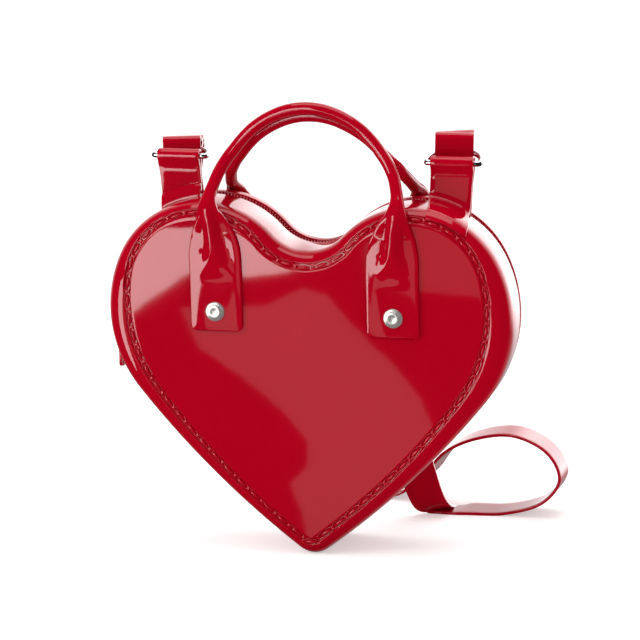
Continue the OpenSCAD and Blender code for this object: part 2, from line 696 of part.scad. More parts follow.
module shoulder_strap() {
  stops = concat(
    [for (further = [strap_gap, strap_start_l]) end_stop(fold_x, right_lean, right_drift, further)],
    strap_route,
    [for (further = [strap_start_l, strap_gap]) end_stop(-fold_x, left_lean, left_drift, further)]
  );
  line = smooth([for (q = stops) q[0]]);
  sides = smooth([for (q = stops) q[1]]);
  count = len(line);
  rings = [for (i = [0 : count - 1])
    let (
      run = line[min(count - 1, i + 1)] - line[max(0, i - 1)],
      side_v = sides[i] / norm(sides[i]) * strap_w / 2,
      up = cross(side_v, run),
      up_v = up / norm(up) * strap_t / 2,
      p = line[i]
    )
    each [p - side_v - up_v, p + side_v - up_v, p + side_v + up_v, p - side_v + up_v]
  ];
  faces = concat(
    [[0, 1, 2], [0, 2, 3]],
    [[4 * count - 4, 4 * count - 2, 4 * count - 3], [4 * count - 4, 4 * count - 1, 4 * count - 2]],
    [for (i = [0 : count - 2], k = [0 : 3])
      let (m = (k + 1) % 4)
      each [
        [4 * i + k, 4 * i + 4 + k, 4 * i + 4 + m],
        [4 * i + k, 4 * i + 4 + m, 4 * i + m]
      ]]
  );
  color(shell_red) polyhedron(rings, faces);
}

front_shell();
rear_shell();
rear_shell_flap();
zip_tape_front();
zip_tape_rear();
zip_coil_front();
zip_coil_rear();
zip_stops();
zip_slider();
zip_pull_link();
zip_pull();
front_handle();
front_rivet_caps();
front_rivet_shanks();
front_rivet_washers();
rear_handle();
rear_rivet_caps();
rear_rivet_shanks();
rear_rivet_washers();
strap_tab_left();
strap_tab_right();
ring_left();
ring_right();
strap_end_left();
strap_end_right();
shoulder_strap();
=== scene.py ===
"""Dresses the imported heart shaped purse: a moulded PVC bag, its handles, zip, rings and shoulder strap.

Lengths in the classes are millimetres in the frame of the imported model. The strap's stops and the studio's
lamps, sheet and floor are in metres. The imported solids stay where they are: a finer piece takes the place of
most that show, and the rest get their finish.
"""

import logging
import math
from collections.abc import Sequence
from dataclasses import dataclass, field
from enum import Enum

import bmesh
import bpy
import numpy as np
from bpy.types import Material, Node, NodeSocket, NodeTree, Object
from mathutils import Matrix, Vector


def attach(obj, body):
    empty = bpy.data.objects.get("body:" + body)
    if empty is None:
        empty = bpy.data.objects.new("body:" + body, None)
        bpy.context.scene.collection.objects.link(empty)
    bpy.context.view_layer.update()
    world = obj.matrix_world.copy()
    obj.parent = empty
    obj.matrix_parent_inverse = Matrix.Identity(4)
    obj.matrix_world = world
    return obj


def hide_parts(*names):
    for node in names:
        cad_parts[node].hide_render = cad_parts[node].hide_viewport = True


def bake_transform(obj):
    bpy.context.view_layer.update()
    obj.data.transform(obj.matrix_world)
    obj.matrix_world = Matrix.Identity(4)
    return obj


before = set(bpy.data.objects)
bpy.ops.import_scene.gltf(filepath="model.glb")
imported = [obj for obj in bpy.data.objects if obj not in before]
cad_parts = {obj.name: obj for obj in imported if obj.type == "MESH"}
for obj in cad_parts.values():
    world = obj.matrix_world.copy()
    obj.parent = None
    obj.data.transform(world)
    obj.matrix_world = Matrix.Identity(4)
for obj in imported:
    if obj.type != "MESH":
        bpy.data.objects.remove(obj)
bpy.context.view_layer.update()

Pair = tuple[float, float]
Triple = tuple[float, float, float]

MM = 0.001
# How loose triangles are joined and which edges count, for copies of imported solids
WELD_M = 2e-6
FLAT_DEG, EDGE_DEG, SHARP_DEG = 0.6, 35, 38
LOG = logging.getLogger("heart_purse")


class Side(Enum):
    """The two faces of the bag, as the sense of y that points out of each."""

    FRONT = -1
    BACK = 1


class Hand(Enum):
    """Left and right as the front is seen, as the sense of x."""

    LEFT = -1
    RIGHT = 1


# Small tools for numbers, meshes and nodes


def linear(colour: str) -> tuple[float, float, float, float]:
    """Turns an sRGB hex colour to linear RGBA.

    Args:
        colour: A colour such as "#A0B0C0".

    Returns:
        Red, green, blue and an alpha of 1, linear.
    """
    parts = [int(colour[i : i + 2], 16) / 255 for i in (1, 3, 5)]
    return (*[p / 12.92 if p <= 0.04045 else ((p + 0.055) / 1.055) ** 2.4 for p in parts], 1.0)


def ease(t: np.ndarray | float) -> np.ndarray:
    """Smooth step from 0 to 1."""
    c = np.clip(t, 0, 1)
    return c * c * (3 - 2 * c)


def mix(a: float | np.ndarray, b: float | np.ndarray, t: float | np.ndarray) -> float | np.ndarray:
    """The value at share t of the way from a to b."""
    return a + (b - a) * t


def spline(stops: np.ndarray, steps: int) -> np.ndarray:
    """Catmull-Rom curve through rows of numbers.

    Args:
        stops: One row for each stop.
        steps: How many rows each stretch becomes.

    Returns:
        The rows of the finer curve, its two ends among them.
    """
    p = np.asarray(stops, float)
    out = []
    for i in range(len(p) - 1):
        a, b, c, d = p[max(0, i - 1)], p[i], p[i + 1], p[min(len(p) - 1, i + 2)]
        for k in range(steps):
            t = k / steps
            out.append(
                0.5
                * (
                    2 * b
                    + (c - a) * t
                    + (2 * a - 5 * b + 4 * c - d) * t * t
                    + (3 * b - a - 3 * c + d) * t * t * t
                )
            )
    out.append(p[-1])
    return np.array(out)


def linked(name: str, data: bpy.types.ID) -> Object:
    """Makes an object of some data and links it to the scene."""
    item = bpy.data.objects.new(name, data)
    bpy.context.scene.collection.objects.link(item)
    return item


def bake(piece: Object) -> None:
    """Turns a piece and its modifiers into a plain mesh."""
    bpy.context.view_layer.update()
    done = bpy.data.meshes.new_from_object(piece.evaluated_get(bpy.context.evaluated_depsgraph_get()))
    piece.modifiers.clear()
    piece.data = done


def bare_material(name: str) -> Material:
    """Makes a material with an empty node tree."""
    material = bpy.data.materials.new(name)
    material.use_nodes = True
    material.node_tree.nodes.clear()
    return material


def mesh_piece(name: str, points: np.ndarray, faces: Sequence[Sequence[int]], finish: Material) -> Object:
    """Makes a smooth mesh piece whose faces point outwards.

    Args:
        name: The piece's name.
        points: Its corners in millimetres.
        faces: The corners of each face.
        finish: Its material.

    Returns:
        The new object, at the origin.
    """
    mesh = bpy.data.meshes.new(name)
    mesh.from_pydata([tuple(p) for p in np.asarray(points) * MM], [], [tuple(f) for f in faces])
    work = bmesh.new()
    work.from_mesh(mesh)
    bmesh.ops.remove_doubles(work, verts=work.verts, dist=1e-6)
    bmesh.ops.dissolve_degenerate(work, edges=work.edges, dist=1e-7)
    bmesh.ops.recalc_face_normals(work, faces=work.faces)
    work.to_mesh(mesh)
    work.free()
    mesh.shade_smooth()
    mesh.materials.append(finish)
    return linked(name, mesh)


def loft(rings: np.ndarray, poles: tuple | None = None) -> tuple[np.ndarray, list[list[int]]]:
    """Joins rings of points by rows of faces.

    Args:
        rings: Points by ring and place on the ring.
        poles: The first and the last point, each the middle of a fan, or None to cap both ends flat.

    Returns:
        The points and the faces.
    """
    count, n = rings.shape[:2]
    points = [p for r in rings for p in r]
    faces = []
    for i in range(count - 1):
        for j in range(n):
            m = (j + 1) % n
            faces.append([i * n + j, i * n + m, (i + 1) * n + m, (i + 1) * n + j])
    last = (count - 1) * n
    if poles is None:
        faces.append(list(range(n - 1, -1, -1)))
        faces.append(list(range(last, last + n)))
    else:
        for pole, base, turn in ((poles[0], 0, True), (poles[1], last, False)):
            points.append(pole)
            k = len(points) - 1
            for j in range(n):
                m = (j + 1) % n
                faces.append([k, base + m, base + j] if turn else [k, base + j, base + m])
    return np.array(points), faces


def add(tree: NodeTree, kind: str, sockets: dict | None = None, **settings: object) -> Node:
    """Adds a node with its settings, values and links.

    Args:
        tree: The node tree.
        kind: The node's type.
        sockets: Input name or place to a value, or to the output socket that feeds it.
        **settings: Properties of the node.

    Returns:
        The new node.
    """
    node = tree.nodes.new(kind)
    for key, value in settings.items():
        setattr(node, key, value)
    for key, value in (sockets or {}).items():
        if isinstance(value, NodeSocket):
            tree.links.new(value, node.inputs[key])
        else:
            node.inputs[key].default_value = value
    return node


@dataclass
class Swept:
    """A closed piece made by joining rings of points. Each kind of piece gives its own rings."""

    def rings(self) -> np.ndarray:
        """Points by ring and place on the ring."""
        raise NotImplementedError

    def poles(self) -> tuple | None:
        """The points that close both ends, or None for flat ends."""
        return None

    def build(self, name: str, finish: Material) -> Object:
        """Joins the rings into one mesh.

        Args:
            name: The piece's name.
            finish: Its material.

        Returns:
            The new piece.
        """
        return mesh_piece(name, *loft(self.rings(), self.poles()), finish)


# Finishes


@dataclass(frozen=True)
class Finish:
    """One material: what it is, how its surface was made, and how rough and bumpy that leaves it."""

    name: str
    colour: str
    shade: str
    roughness: float
    cloud_mm: float = 40.0
    ripple_mm: float = 7.0
    ripple_depth_mm: float = 0.0
    metallic: float = 0.0
    ior: float = 1.5
    rub: float = 0.15

    def make(self) -> Material:
        """Builds the material from its fields."""
        material = bpy.data.materials.new(self.name)
        material.use_nodes = True
        tree = material.node_tree
        shader = tree.nodes["Principled BSDF"]
        place = add(tree, "ShaderNodeTexCoord").outputs["Object"]
        noise = {"Vector": place, "Scale": 1 / (self.cloud_mm * MM), "Detail": 2.0}
        cloud = add(tree, "ShaderNodeTexNoise", noise)
        tint = add(
            tree,
            "ShaderNodeMix",
            {0: cloud.outputs["Fac"], 6: linear(self.colour), 7: linear(self.shade)},
            data_type="RGBA",
        )
        tree.links.new(tint.outputs[2], shader.inputs["Base Color"])
        low, high = self.roughness * (1 - self.rub), self.roughness * (1 + self.rub)
        span = {"Value": cloud.outputs["Fac"], "To Min": low, "To Max": high}
        rub = add(tree, "ShaderNodeMapRange", span)
        tree.links.new(rub.outputs["Result"], shader.inputs["Roughness"])
        shader.inputs["Metallic"].default_value = self.metallic
        shader.inputs["IOR"].default_value = self.ior
        self.relief(tree, shader, place)
        return material

    def relief(self, tree: NodeTree, shader: Node, place: NodeSocket) -> None:
        """Adds the surface's relief.

        Args:
            tree: The material's tree.
            shader: Its Principled shader.
            place: The Object coordinates.
        """
        if not self.ripple_depth_mm:
            return
        noise = {"Vector": place, "Scale": 1 / (self.ripple_mm * MM), "Detail": 1.0}
        self.raise_by(tree, shader, add(tree, "ShaderNodeTexNoise", noise).outputs["Fac"])

    def raise_by(self, tree: NodeTree, shader: Node, height: NodeSocket) -> None:
        """Turns a height into relief as deep as this finish has it."""
        deep = {"Height": height, "Distance": self.ripple_depth_mm * MM, "Strength": 1.0}
        bump = add(tree, "ShaderNodeBump", deep)
        tree.links.new(bump.outputs["Normal"], shader.inputs["Normal"])


@dataclass(frozen=True)
class Woven(Finish):
    """A plain weave: two crossed sets of threads. A wave texture has about three bands in a unit."""

    thread_mm: float = 0.5
    bands_in_unit: float = 3

    def relief(self, tree: NodeTree, shader: Node, place: NodeSocket) -> None:
        """Adds the threads as crossed bands."""
        threads = {"Vector": place, "Scale": 1 / (self.thread_mm * MM * self.bands_in_unit)}
        bands = [add(tree, "ShaderNodeTexWave", threads, bands_direction=way) for way in ("Y", "DIAGONAL")]
        sockets = {i: band.outputs["Fac"] for i, band in enumerate(bands)}
        self.raise_by(tree, shader, add(tree, "ShaderNodeMath", sockets, operation="MULTIPLY").outputs[0])


class Palette:
    """The finishes of this bag, each made once."""

    def __init__(self) -> None:
        """Builds every material."""
        # Soft PVC moulded against polished steel: an even deep red under a wet gloss, faintly rippled
        self.shell = Finish(
            "moulded_pvc_gloss", "#B0001C", "#A8001A", 0.035, ripple_mm=11, ripple_depth_mm=0.006
        ).make()
        # The same PVC calendered to a thin strip: a slightly brighter red and a softer gloss
        self.strip = Finish(
            "calendered_pvc_strip", "#B6001F", "#AA001B", 0.05, ripple_mm=9, ripple_depth_mm=0.01
        ).make()
        # Moulded stitches: small rounded lumps that leave the mould less polished
        self.stitch = Finish("moulded_pvc_stitch", "#B8041D", "#A60019", 0.13).make()
        # Polyester zip tape: a dull plain weave
        self.tape = Woven("woven_polyester_tape", "#8E0A1A", "#7C0816", 0.7, ripple_depth_mm=0.1).make()
        # Nylon coil, extruded and dyed: a low sheen
        self.coil = Finish("dyed_nylon_coil", "#BC0620", "#A8051C", 0.3).make()
        # Zinc casting under red lacquer: darker than the PVC, with the cast skin's waves under the gloss
        self.lacquer = Finish(
            "lacquered_zinc_casting", "#9A0619", "#8A0516", 0.2, ripple_mm=3, ripple_depth_mm=0.01
        ).make()
        # Pressed caps, tumbled and nickelled: a softer, paler shine than the drawn wire
        self.nickel = Finish("nickelled_steel_cap", "#E9E7E1", "#DCDAD4", 0.26, metallic=0.75).make()
        # Steel wire with bright chrome plate: a near mirror
        self.chrome = Finish("chrome_plated_steel", "#E4E4E6", "#DADADD", 0.07, metallic=1.0).make()


# The heart's outline


@dataclass(frozen=True)
class Arc:
    """An arc in the x-z plane: centre, radius and the angles of its ends in degrees."""

    x: float
    z: float
    radius: float
    start: float
    end: float

    def at(self, inset: np.ndarray | float, t: np.ndarray | float) -> np.ndarray:
        """Points at shares t of the arc, moved inward by inset."""
        a = np.radians(mix(self.start, self.end, t))
        r = self.radius + (inset if self.end < self.start else -inset)
        return np.stack([self.x + r * np.cos(a), self.z + r * np.sin(a)], axis=-1)


def heart(
    half_w: float,
    tip_z: float,
    tip_r: float,
    flank_r: float,
    side_r: float,
    side_z: float,
    top_r: float,
    turn: float,
    dip_r: float,
) -> list[Arc]:
    """The right half of a heart as five arcs that meet smoothly: tip, flank, side, lobe and dip.

    Args:
        half_w: Half the width.
        tip_z: Height of the tip arc's centre.
        tip_r: Radius of the tip.
        flank_r: Radius of the long flank.
        side_r: Radius of the widest arc.
        side_z: Height of the widest arc's centre.
        top_r: Radius over the lobe.
        turn: Angle in degrees where the widest arc meets the lobe.
        dip_r: Radius of the hollow dip.

    Returns:
        The five arcs, from the tip upwards.
    """
    tip = Vector((0, tip_z))
    side = Vector((half_w - side_r, side_z))
    gap = side - tip
    along = gap.normalized()
    reach = ((flank_r - tip_r) ** 2 - (flank_r - side_r) ** 2 + gap.length**2) / (2 * gap.length)
    flank = tip + along * reach + Vector((-along.y, along.x)) * math.sqrt((flank_r - tip_r) ** 2 - reach**2)
    lobe = side + (side_r - top_r) * Vector((math.cos(math.radians(turn)), math.sin(math.radians(turn))))
    dip = Vector((0, lobe.y + math.sqrt((top_r + dip_r) ** 2 - lobe.x**2)))

    def bearing(v: Vector) -> float:
        """The angle of a vector in degrees."""
        return math.degrees(math.atan2(v.y, v.x))

    low, high = bearing(tip - flank), bearing(side - flank)
    return [
        Arc(*tip, tip_r, -90, low),
        Arc(*flank, flank_r, low, high),
        Arc(*side, side_r, high, turn),
        Arc(*lobe, top_r, turn, bearing(dip - lobe)),
        Arc(*dip, dip_r, bearing(lobe - dip), -90),
    ]


@dataclass
class Heart:
    """The outline and the stitch line, sampled round the heart from the tip."""

    half_w: float = 95.0
    tip_r: float = 11.0
    foot_w: float = 3.0
    flank_r: float = 413.0
    side_r: float = 60.0
    side_z: float = 112.0
    lobe_r: float = 44.5
    lobe_turn: float = 25.0
    dip_r: float = 22.7
    stitch_side_inset: float = 10.5
    stitch_top_inset: float = 4.2
    stitch_tip_inset: float = 6.5
    stitch_tip_r: float = 2.5
    stitch_flank_r: float = 360.0
    stitch_side_r: float = 70.0
    stitch_top_r: float = 35.0
    stitch_turn: float = 10.4
    stitch_dip_r: float = 28.0
    deepest: float = 30.0
    steps: tuple[int, ...] = (10, 44, 26, 46, 24)
    edge: list[Arc] = field(init=False)
    stitch: list[Arc] = field(init=False)

    def __post_init__(self) -> None:
        """Works out both lines."""
        tip_z = math.sqrt(self.tip_r**2 - self.foot_w**2 / 4)
        sides = (self.flank_r, self.side_r, self.side_z)
        self.edge = heart(self.half_w, tip_z, self.tip_r, *sides, self.lobe_r, self.lobe_turn, self.dip_r)
        top_c = self.edge[3].z + self.lobe_r - self.stitch_top_inset - self.stitch_top_r
        fall = (self.stitch_side_r - self.stitch_top_r) * math.sin(math.radians(self.stitch_turn))
        self.stitch = heart(
            self.half_w - self.stitch_side_inset,
            self.stitch_tip_inset + self.stitch_tip_r,
            self.stitch_tip_r,
            self.stitch_flank_r,
            self.stitch_side_r,
            top_c - fall,
            self.stitch_top_r,
            self.stitch_turn,
            self.stitch_dip_r,
        )

    def loop(self, arcs: list[Arc], inset: np.ndarray | float = 0.0) -> np.ndarray:
        """Points right round a line, from the tip up the right side and down the left.

        Args:
            arcs: The line's right half.
            inset: How far inward, one number or one for each point.

        Returns:
            The points, x and z.
        """
        half = sum(self.steps)
        insets = np.broadcast_to(np.asarray(inset, float), (2 * half,))
        where = [(arc, k / n) for arc, n in zip(arcs, self.steps) for k in range(n)] + [(arcs[-1], 1.0)]
        out = np.zeros((2 * half, 2))
        for j in range(2 * half):
            arc, t = where[j if j <= half else 2 * half - j]
            out[j] = arc.at(insets[j], t)
            if j > half:
                out[j, 0] *= -1
        return out

    def inset_of(self, points: np.ndarray) -> np.ndarray:
        """How far each point lies inside the outline, at most the deepest that matters.

        Args:
            points: Points, x and z.

        Returns:
            A distance for each point.
        """
        p = np.abs(points[:, 0]), points[:, 1]
        best = np.full(len(points), self.deepest)
        for arc in self.edge:
            dx, dz = p[0] - arc.x, p[1] - arc.z
            a = np.degrees(np.arctan2(dz, dx))
            lo, hi = min(arc.start, arc.end), max(arc.start, arc.end)
            inside = (a >= lo - 0.01) & (a <= hi + 0.01)
            best = np.where(inside, np.minimum(best, np.abs(np.hypot(dx, dz) - arc.radius)), best)
        return best


# Shells


@dataclass
class Shell(Swept):
    """One moulded half of the bag: a rolled shoulder, a channel for the stitches and a crowned panel.

    The channel's shares are places across it in quarters of its width, each with its share of the depth.
    """

    heart: Heart
    side: Side
    panel_y: float
    rim_y: float
    wall: float = 2.2
    roll_r: float = 8.0
    channel_w: float = 3.2
    channel_d: float = 0.75
    crown: float = 0.4
    crown_z: float = 85.0
    crown_half: Pair = (95.0, 80.0)
    crown_middle_share: float = 0.68
    rim_share: float = 0.99
    panel_share: float = 1.0
    rim_round: float = 0.4
    slot_low: float = 96.2
    slot_w: float = 6.0
    slot_lead: float = 0.5
    hollow_rings: int = 9
    roll_steps: int = 14
    lip_gap: float = 0.35
    inner_gap: float = 0.4
    blend_from: float = 0.3
    blend_to: float = 0.6
    middle: Pair = (0.0, 95.0)
    floor_shares: tuple[float, ...] = (0.15, 0.4, 0.65, 0.85)
    panel_shares: tuple[float, ...] = (0.93, 0.85, 0.75, 0.62, 0.48, 0.34, 0.2, 0.08)
    channel_shares: tuple[Pair, ...] = (
        (-2.15, 0.05), (-2.0, 0.2), (-1.85, 0.55), (-1.65, 0.85), (-1.3, 1.0), (0, 1.05),
        (1.3, 1.0), (1.65, 0.85), (1.85, 0.55), (2.0, 0.2), (2.15, 0.05), (2.4, 0.0),
    )

    def drop(self, inset: np.ndarray) -> np.ndarray:
        """How far the rolled shoulder falls back at an inset."""
        r = self.roll_r
        return np.where(inset >= r, 0.0, r - np.sqrt(np.maximum(0, r * r - (r - np.minimum(inset, r)) ** 2)))

    def rise(self, flat: np.ndarray) -> np.ndarray:
        """The panel's crown at a place: highest in the middle, and just under the plane near the rim."""
        low = (flat[:, 0] / self.crown_half[0]) ** 2 + ((flat[:, 1] - self.crown_z) / self.crown_half[1]) ** 2
        return self.crown * (self.crown_middle_share - low) * ease(self.heart.inset_of(flat) / self.roll_r)

    def depth_of_rim(self, flat: np.ndarray) -> np.ndarray:
        """How far the rim lies behind the panel: the back's rim steps away where the zip runs."""
        full = abs(self.panel_y - self.rim_y)
        if self.side is Side.FRONT:
            return np.full(len(flat), full)
        return full - self.slot_w * ease(flat[:, 1] - self.slot_low + self.slot_lead)

    def ring(self, flat: np.ndarray, back: np.ndarray | float) -> np.ndarray:
        """Places a flat ring behind the panel.

        Args:
            flat: Points, x and z.
            back: Distance behind the panel's plane.

        Returns:
            Points in the bag's frame, narrowed towards the rim.
        """
        back = np.broadcast_to(np.asarray(back, float), (len(flat),))
        full = abs(self.panel_y - self.rim_y) - self.roll_r
        share = mix(self.panel_share, self.rim_share, np.clip((back - self.roll_r) / full, 0, 1))
        y = self.panel_y - self.side.value * (back - self.rise(flat))
        return np.stack([flat[:, 0] * share, y, np.maximum(flat[:, 1], 0)], axis=-1)

    def rings(self) -> np.ndarray:
        """Every ring from the middle of the inner face, over the rim, to the middle of the panel."""
        h, wall, roll = self.heart, self.wall, self.roll_r
        outer, middle = h.loop(h.edge), np.array(self.middle)
        deep = self.depth_of_rim(outer)
        made = []
        hollow = h.loop(h.edge, roll)
        made += [self.ring(middle + (hollow - middle) * s, wall) for s in self.floor_shares]
        for a in np.radians(np.linspace(90, 0, self.hollow_rings)):
            r = roll - wall
            made.append(self.ring(h.loop(h.edge, roll - r * math.cos(a)), roll - r * math.sin(a)))
        e = self.rim_round
        for a in np.radians((0, 30, 60, 90)):
            made.append(self.ring(h.loop(h.edge, wall - e + e * math.cos(a)), deep - e + e * math.sin(a)))
        for a in np.radians((90, 60, 30, 0)):
            made.append(self.ring(h.loop(h.edge, e - e * math.cos(a)), deep - e + e * math.sin(a)))
        lip = h.loop(h.stitch, -self.channel_w / 2 - self.lip_gap)
        last = np.clip(h.inset_of(lip), 0, roll)
        for k in range(self.roll_steps + 1):
            a = np.arccos((roll - last) / roll) * k / self.roll_steps
            made.append(self.ring(h.loop(h.edge, roll - roll * np.cos(a)), roll - roll * np.sin(a)))
        for across, sunk in self.channel_shares:
            flat = h.loop(h.stitch, across * self.channel_w / 4)
            made.append(self.ring(flat, self.drop(h.inset_of(flat)) + sunk * self.channel_d))
        inner = h.loop(h.stitch, self.channel_w / 2 + self.inner_gap)
        inset = np.maximum(h.inset_of(inner), 0)
        last = np.maximum(roll, inset + self.blend_to)
        for t in (0.0, 0.34, 0.67, 1.0):
            flat = h.loop(h.edge, mix(inset + self.blend_from, last, t))
            made.append(self.ring(flat, self.drop(h.inset_of(flat))))
        flat = h.loop(h.edge, last)
        made += [self.ring(middle + (flat - middle) * s, 0) for s in self.panel_shares]
        return np.array(made)

    def poles(self) -> tuple:
        """The middles of the inner face and of the panel."""
        return tuple(self.ring(np.array([self.middle]), back)[0] for back in (self.wall, 0))

    def stitch_line(self, sunk: float) -> np.ndarray:
        """The line that the stitches follow, sunk that far below the shoulder."""
        flat = self.heart.loop(self.heart.stitch)
        return self.ring(flat, self.drop(self.heart.inset_of(flat)) + sunk)


# Rows of small parts


@dataclass(frozen=True)
class Lump:
    """One rounded form of a repeat: its half sizes along the row, across it and outwards, its place and rim.

    A rim of 0 makes a solid lump. Any other makes an oval ring, its wire that share of the half size.
    """

    half: Triple
    place: Triple = (0.0, 0.0, 0.0)
    rim: float = 0.0


@dataclass
class Row:
    """Lumps repeated along a line by Geometry Nodes."""

    name: str
    pitch: float
    lumps: tuple[Lump, ...]
    out: Triple = (0.0, -1.0, 0.0)
    closed: bool = True
    segments: int = 10

    def tree(self, finish: Material) -> NodeTree:
        """Builds the node tree, with the pitch and the size of a lump as named inputs.

        Args:
            finish: The lumps' material.

        Returns:
            The tree.
        """
        tree = bpy.data.node_groups.new(self.name + "_row", "GeometryNodeTree")
        for name, way, kind in (
            ("Geometry", "INPUT", "Geometry"),
            ("Pitch", "INPUT", "Float"),
            ("Size", "INPUT", "Float"),
            ("Geometry", "OUTPUT", "Geometry"),
        ):
            tree.interface.new_socket(name, in_out=way, socket_type="NodeSocket" + kind)
        start = add(tree, "NodeGroupInput")
        line = add(tree, "GeometryNodeMeshToCurve", {"Mesh": start.outputs["Geometry"]})
        spaced = {"Curve": line.outputs["Curve"], "Length": start.outputs["Pitch"]}
        even = add(tree, "GeometryNodeResampleCurve", spaced, mode="LENGTH")
        run = {0: add(tree, "GeometryNodeInputTangent").outputs["Tangent"], 1: self.out}
        turned = add(tree, "FunctionNodeAxesToRotation", run, primary_axis="X", secondary_axis="Z")
        join = add(tree, "GeometryNodeJoinGeometry")
        for lump in self.lumps:
            if lump.rim:
                oval = add(tree, "GeometryNodeCurvePrimitiveCircle", {"Resolution": 18, "Radius": 1.0})
                wire = add(tree, "GeometryNodeCurvePrimitiveCircle", {"Resolution": 5, "Radius": lump.rim})
                swept = {"Curve": oval.outputs["Curve"], "Profile Curve": wire.outputs["Curve"]}
                form = add(tree, "GeometryNodeCurveToMesh", swept)
            else:
                ball = {"Segments": self.segments, "Rings": 6, "Radius": 1.0}
                form = add(tree, "GeometryNodeMeshUVSphere", ball)
            sockets = {"Geometry": form.outputs["Mesh"]}
            sockets |= {"Scale": [v * MM for v in lump.half], "Translation": [v * MM for v in lump.place]}
            moved = add(tree, "GeometryNodeTransform", sockets)
            tree.links.new(moved.outputs["Geometry"], join.inputs["Geometry"])
        sockets = {"Points": even.outputs["Curve"], "Instance": join.outputs["Geometry"]}
        sockets |= {"Rotation": turned.outputs["Rotation"], "Scale": start.outputs["Size"]}
        set_out = add(tree, "GeometryNodeInstanceOnPoints", sockets)
        real = add(tree, "GeometryNodeRealizeInstances", {"Geometry": set_out.outputs["Instances"]})
        smooth = add(tree, "GeometryNodeSetShadeSmooth", {"Geometry": real.outputs["Geometry"]})
        sockets = {"Geometry": smooth.outputs["Geometry"], "Material": finish}
        dressed = add(tree, "GeometryNodeSetMaterial", sockets)
        add(tree, "NodeGroupOutput", {"Geometry": dressed.outputs["Geometry"]})
        return tree

    def build(self, line: np.ndarray, finish: Material) -> Object:
        """Runs the tree along a line and keeps the plain mesh.

        Args:
            line: Points of the line in millimetres.
            finish: The lumps' material.

        Returns:
            The piece.
        """
        n = len(line)
        edges = [(i, (i + 1) % n) for i in range(n if self.closed else n - 1)]
        mesh = bpy.data.meshes.new(self.name)
        mesh.from_pydata([tuple(p * MM) for p in line], edges, [])
        piece = linked(self.name, mesh)
        modifier = piece.modifiers.new("Row", "NODES")
        tree = self.tree(finish)
        modifier.node_group = tree
        values = {"Pitch": self.pitch * MM, "Size": 1.0}
        for item in tree.interface.items_tree:
            if item.item_type == "SOCKET" and item.in_out == "INPUT" and item.name in values:
                modifier[item.identifier] = values[item.name]
        bake(piece)
        return piece


@dataclass(frozen=True)
class Stitching:
    """The moulded stitches of a shell: each a raised dash in an oval rim."""

    count: int = 62
    dash: Lump = Lump((3.1, 0.8, 0.95))
    rim: Lump = Lump((4.5, 1.4, 1.0), (0, 0, 0.15), rim=0.17)

    def build(self, shell: Shell, name: str, finish: Material) -> Object:
        """Spreads the stitches evenly over a shell's channel.

        Args:
            shell: The shell that has them.
            name: The row's name.
            finish: Its material.

        Returns:
            The new piece.
        """
        line = shell.stitch_line(shell.channel_d)
        length = float(np.linalg.norm(np.diff(np.vstack([line, line[:1]]), axis=0), axis=1).sum())
        row = Row(name, length / self.count, (self.dash, self.rim), out=(0.0, float(shell.side.value), 0.0))
        return row.build(line, finish)


@dataclass(frozen=True)
class Teeth:
    """The teeth of one half of the zip's coil, on a line inside the outline and drawn in to its own rim."""

    heart: Heart
    y: float
    share: float
    inset: float = 1.25
    low_z: float = 105.2
    pitch: float = 1.5
    tooth: Lump = Lump((0.42, 1.05, 0.8))

    def build(self, name: str, finish: Material) -> Object:
        """Repeats the tooth over the upper part of the outline."""
        flat = self.heart.loop(self.heart.edge, self.inset)
        keep = flat[flat[:, 1] >= self.low_z]
        line = np.stack([keep[:, 0] * self.share, np.full(len(keep), self.y), keep[:, 1]], axis=-1)
        row = Row(name, self.pitch, (self.tooth,), out=(0.0, -1.0, 0.0), closed=False, segments=8)
        return row.build(line, finish)


# Handles


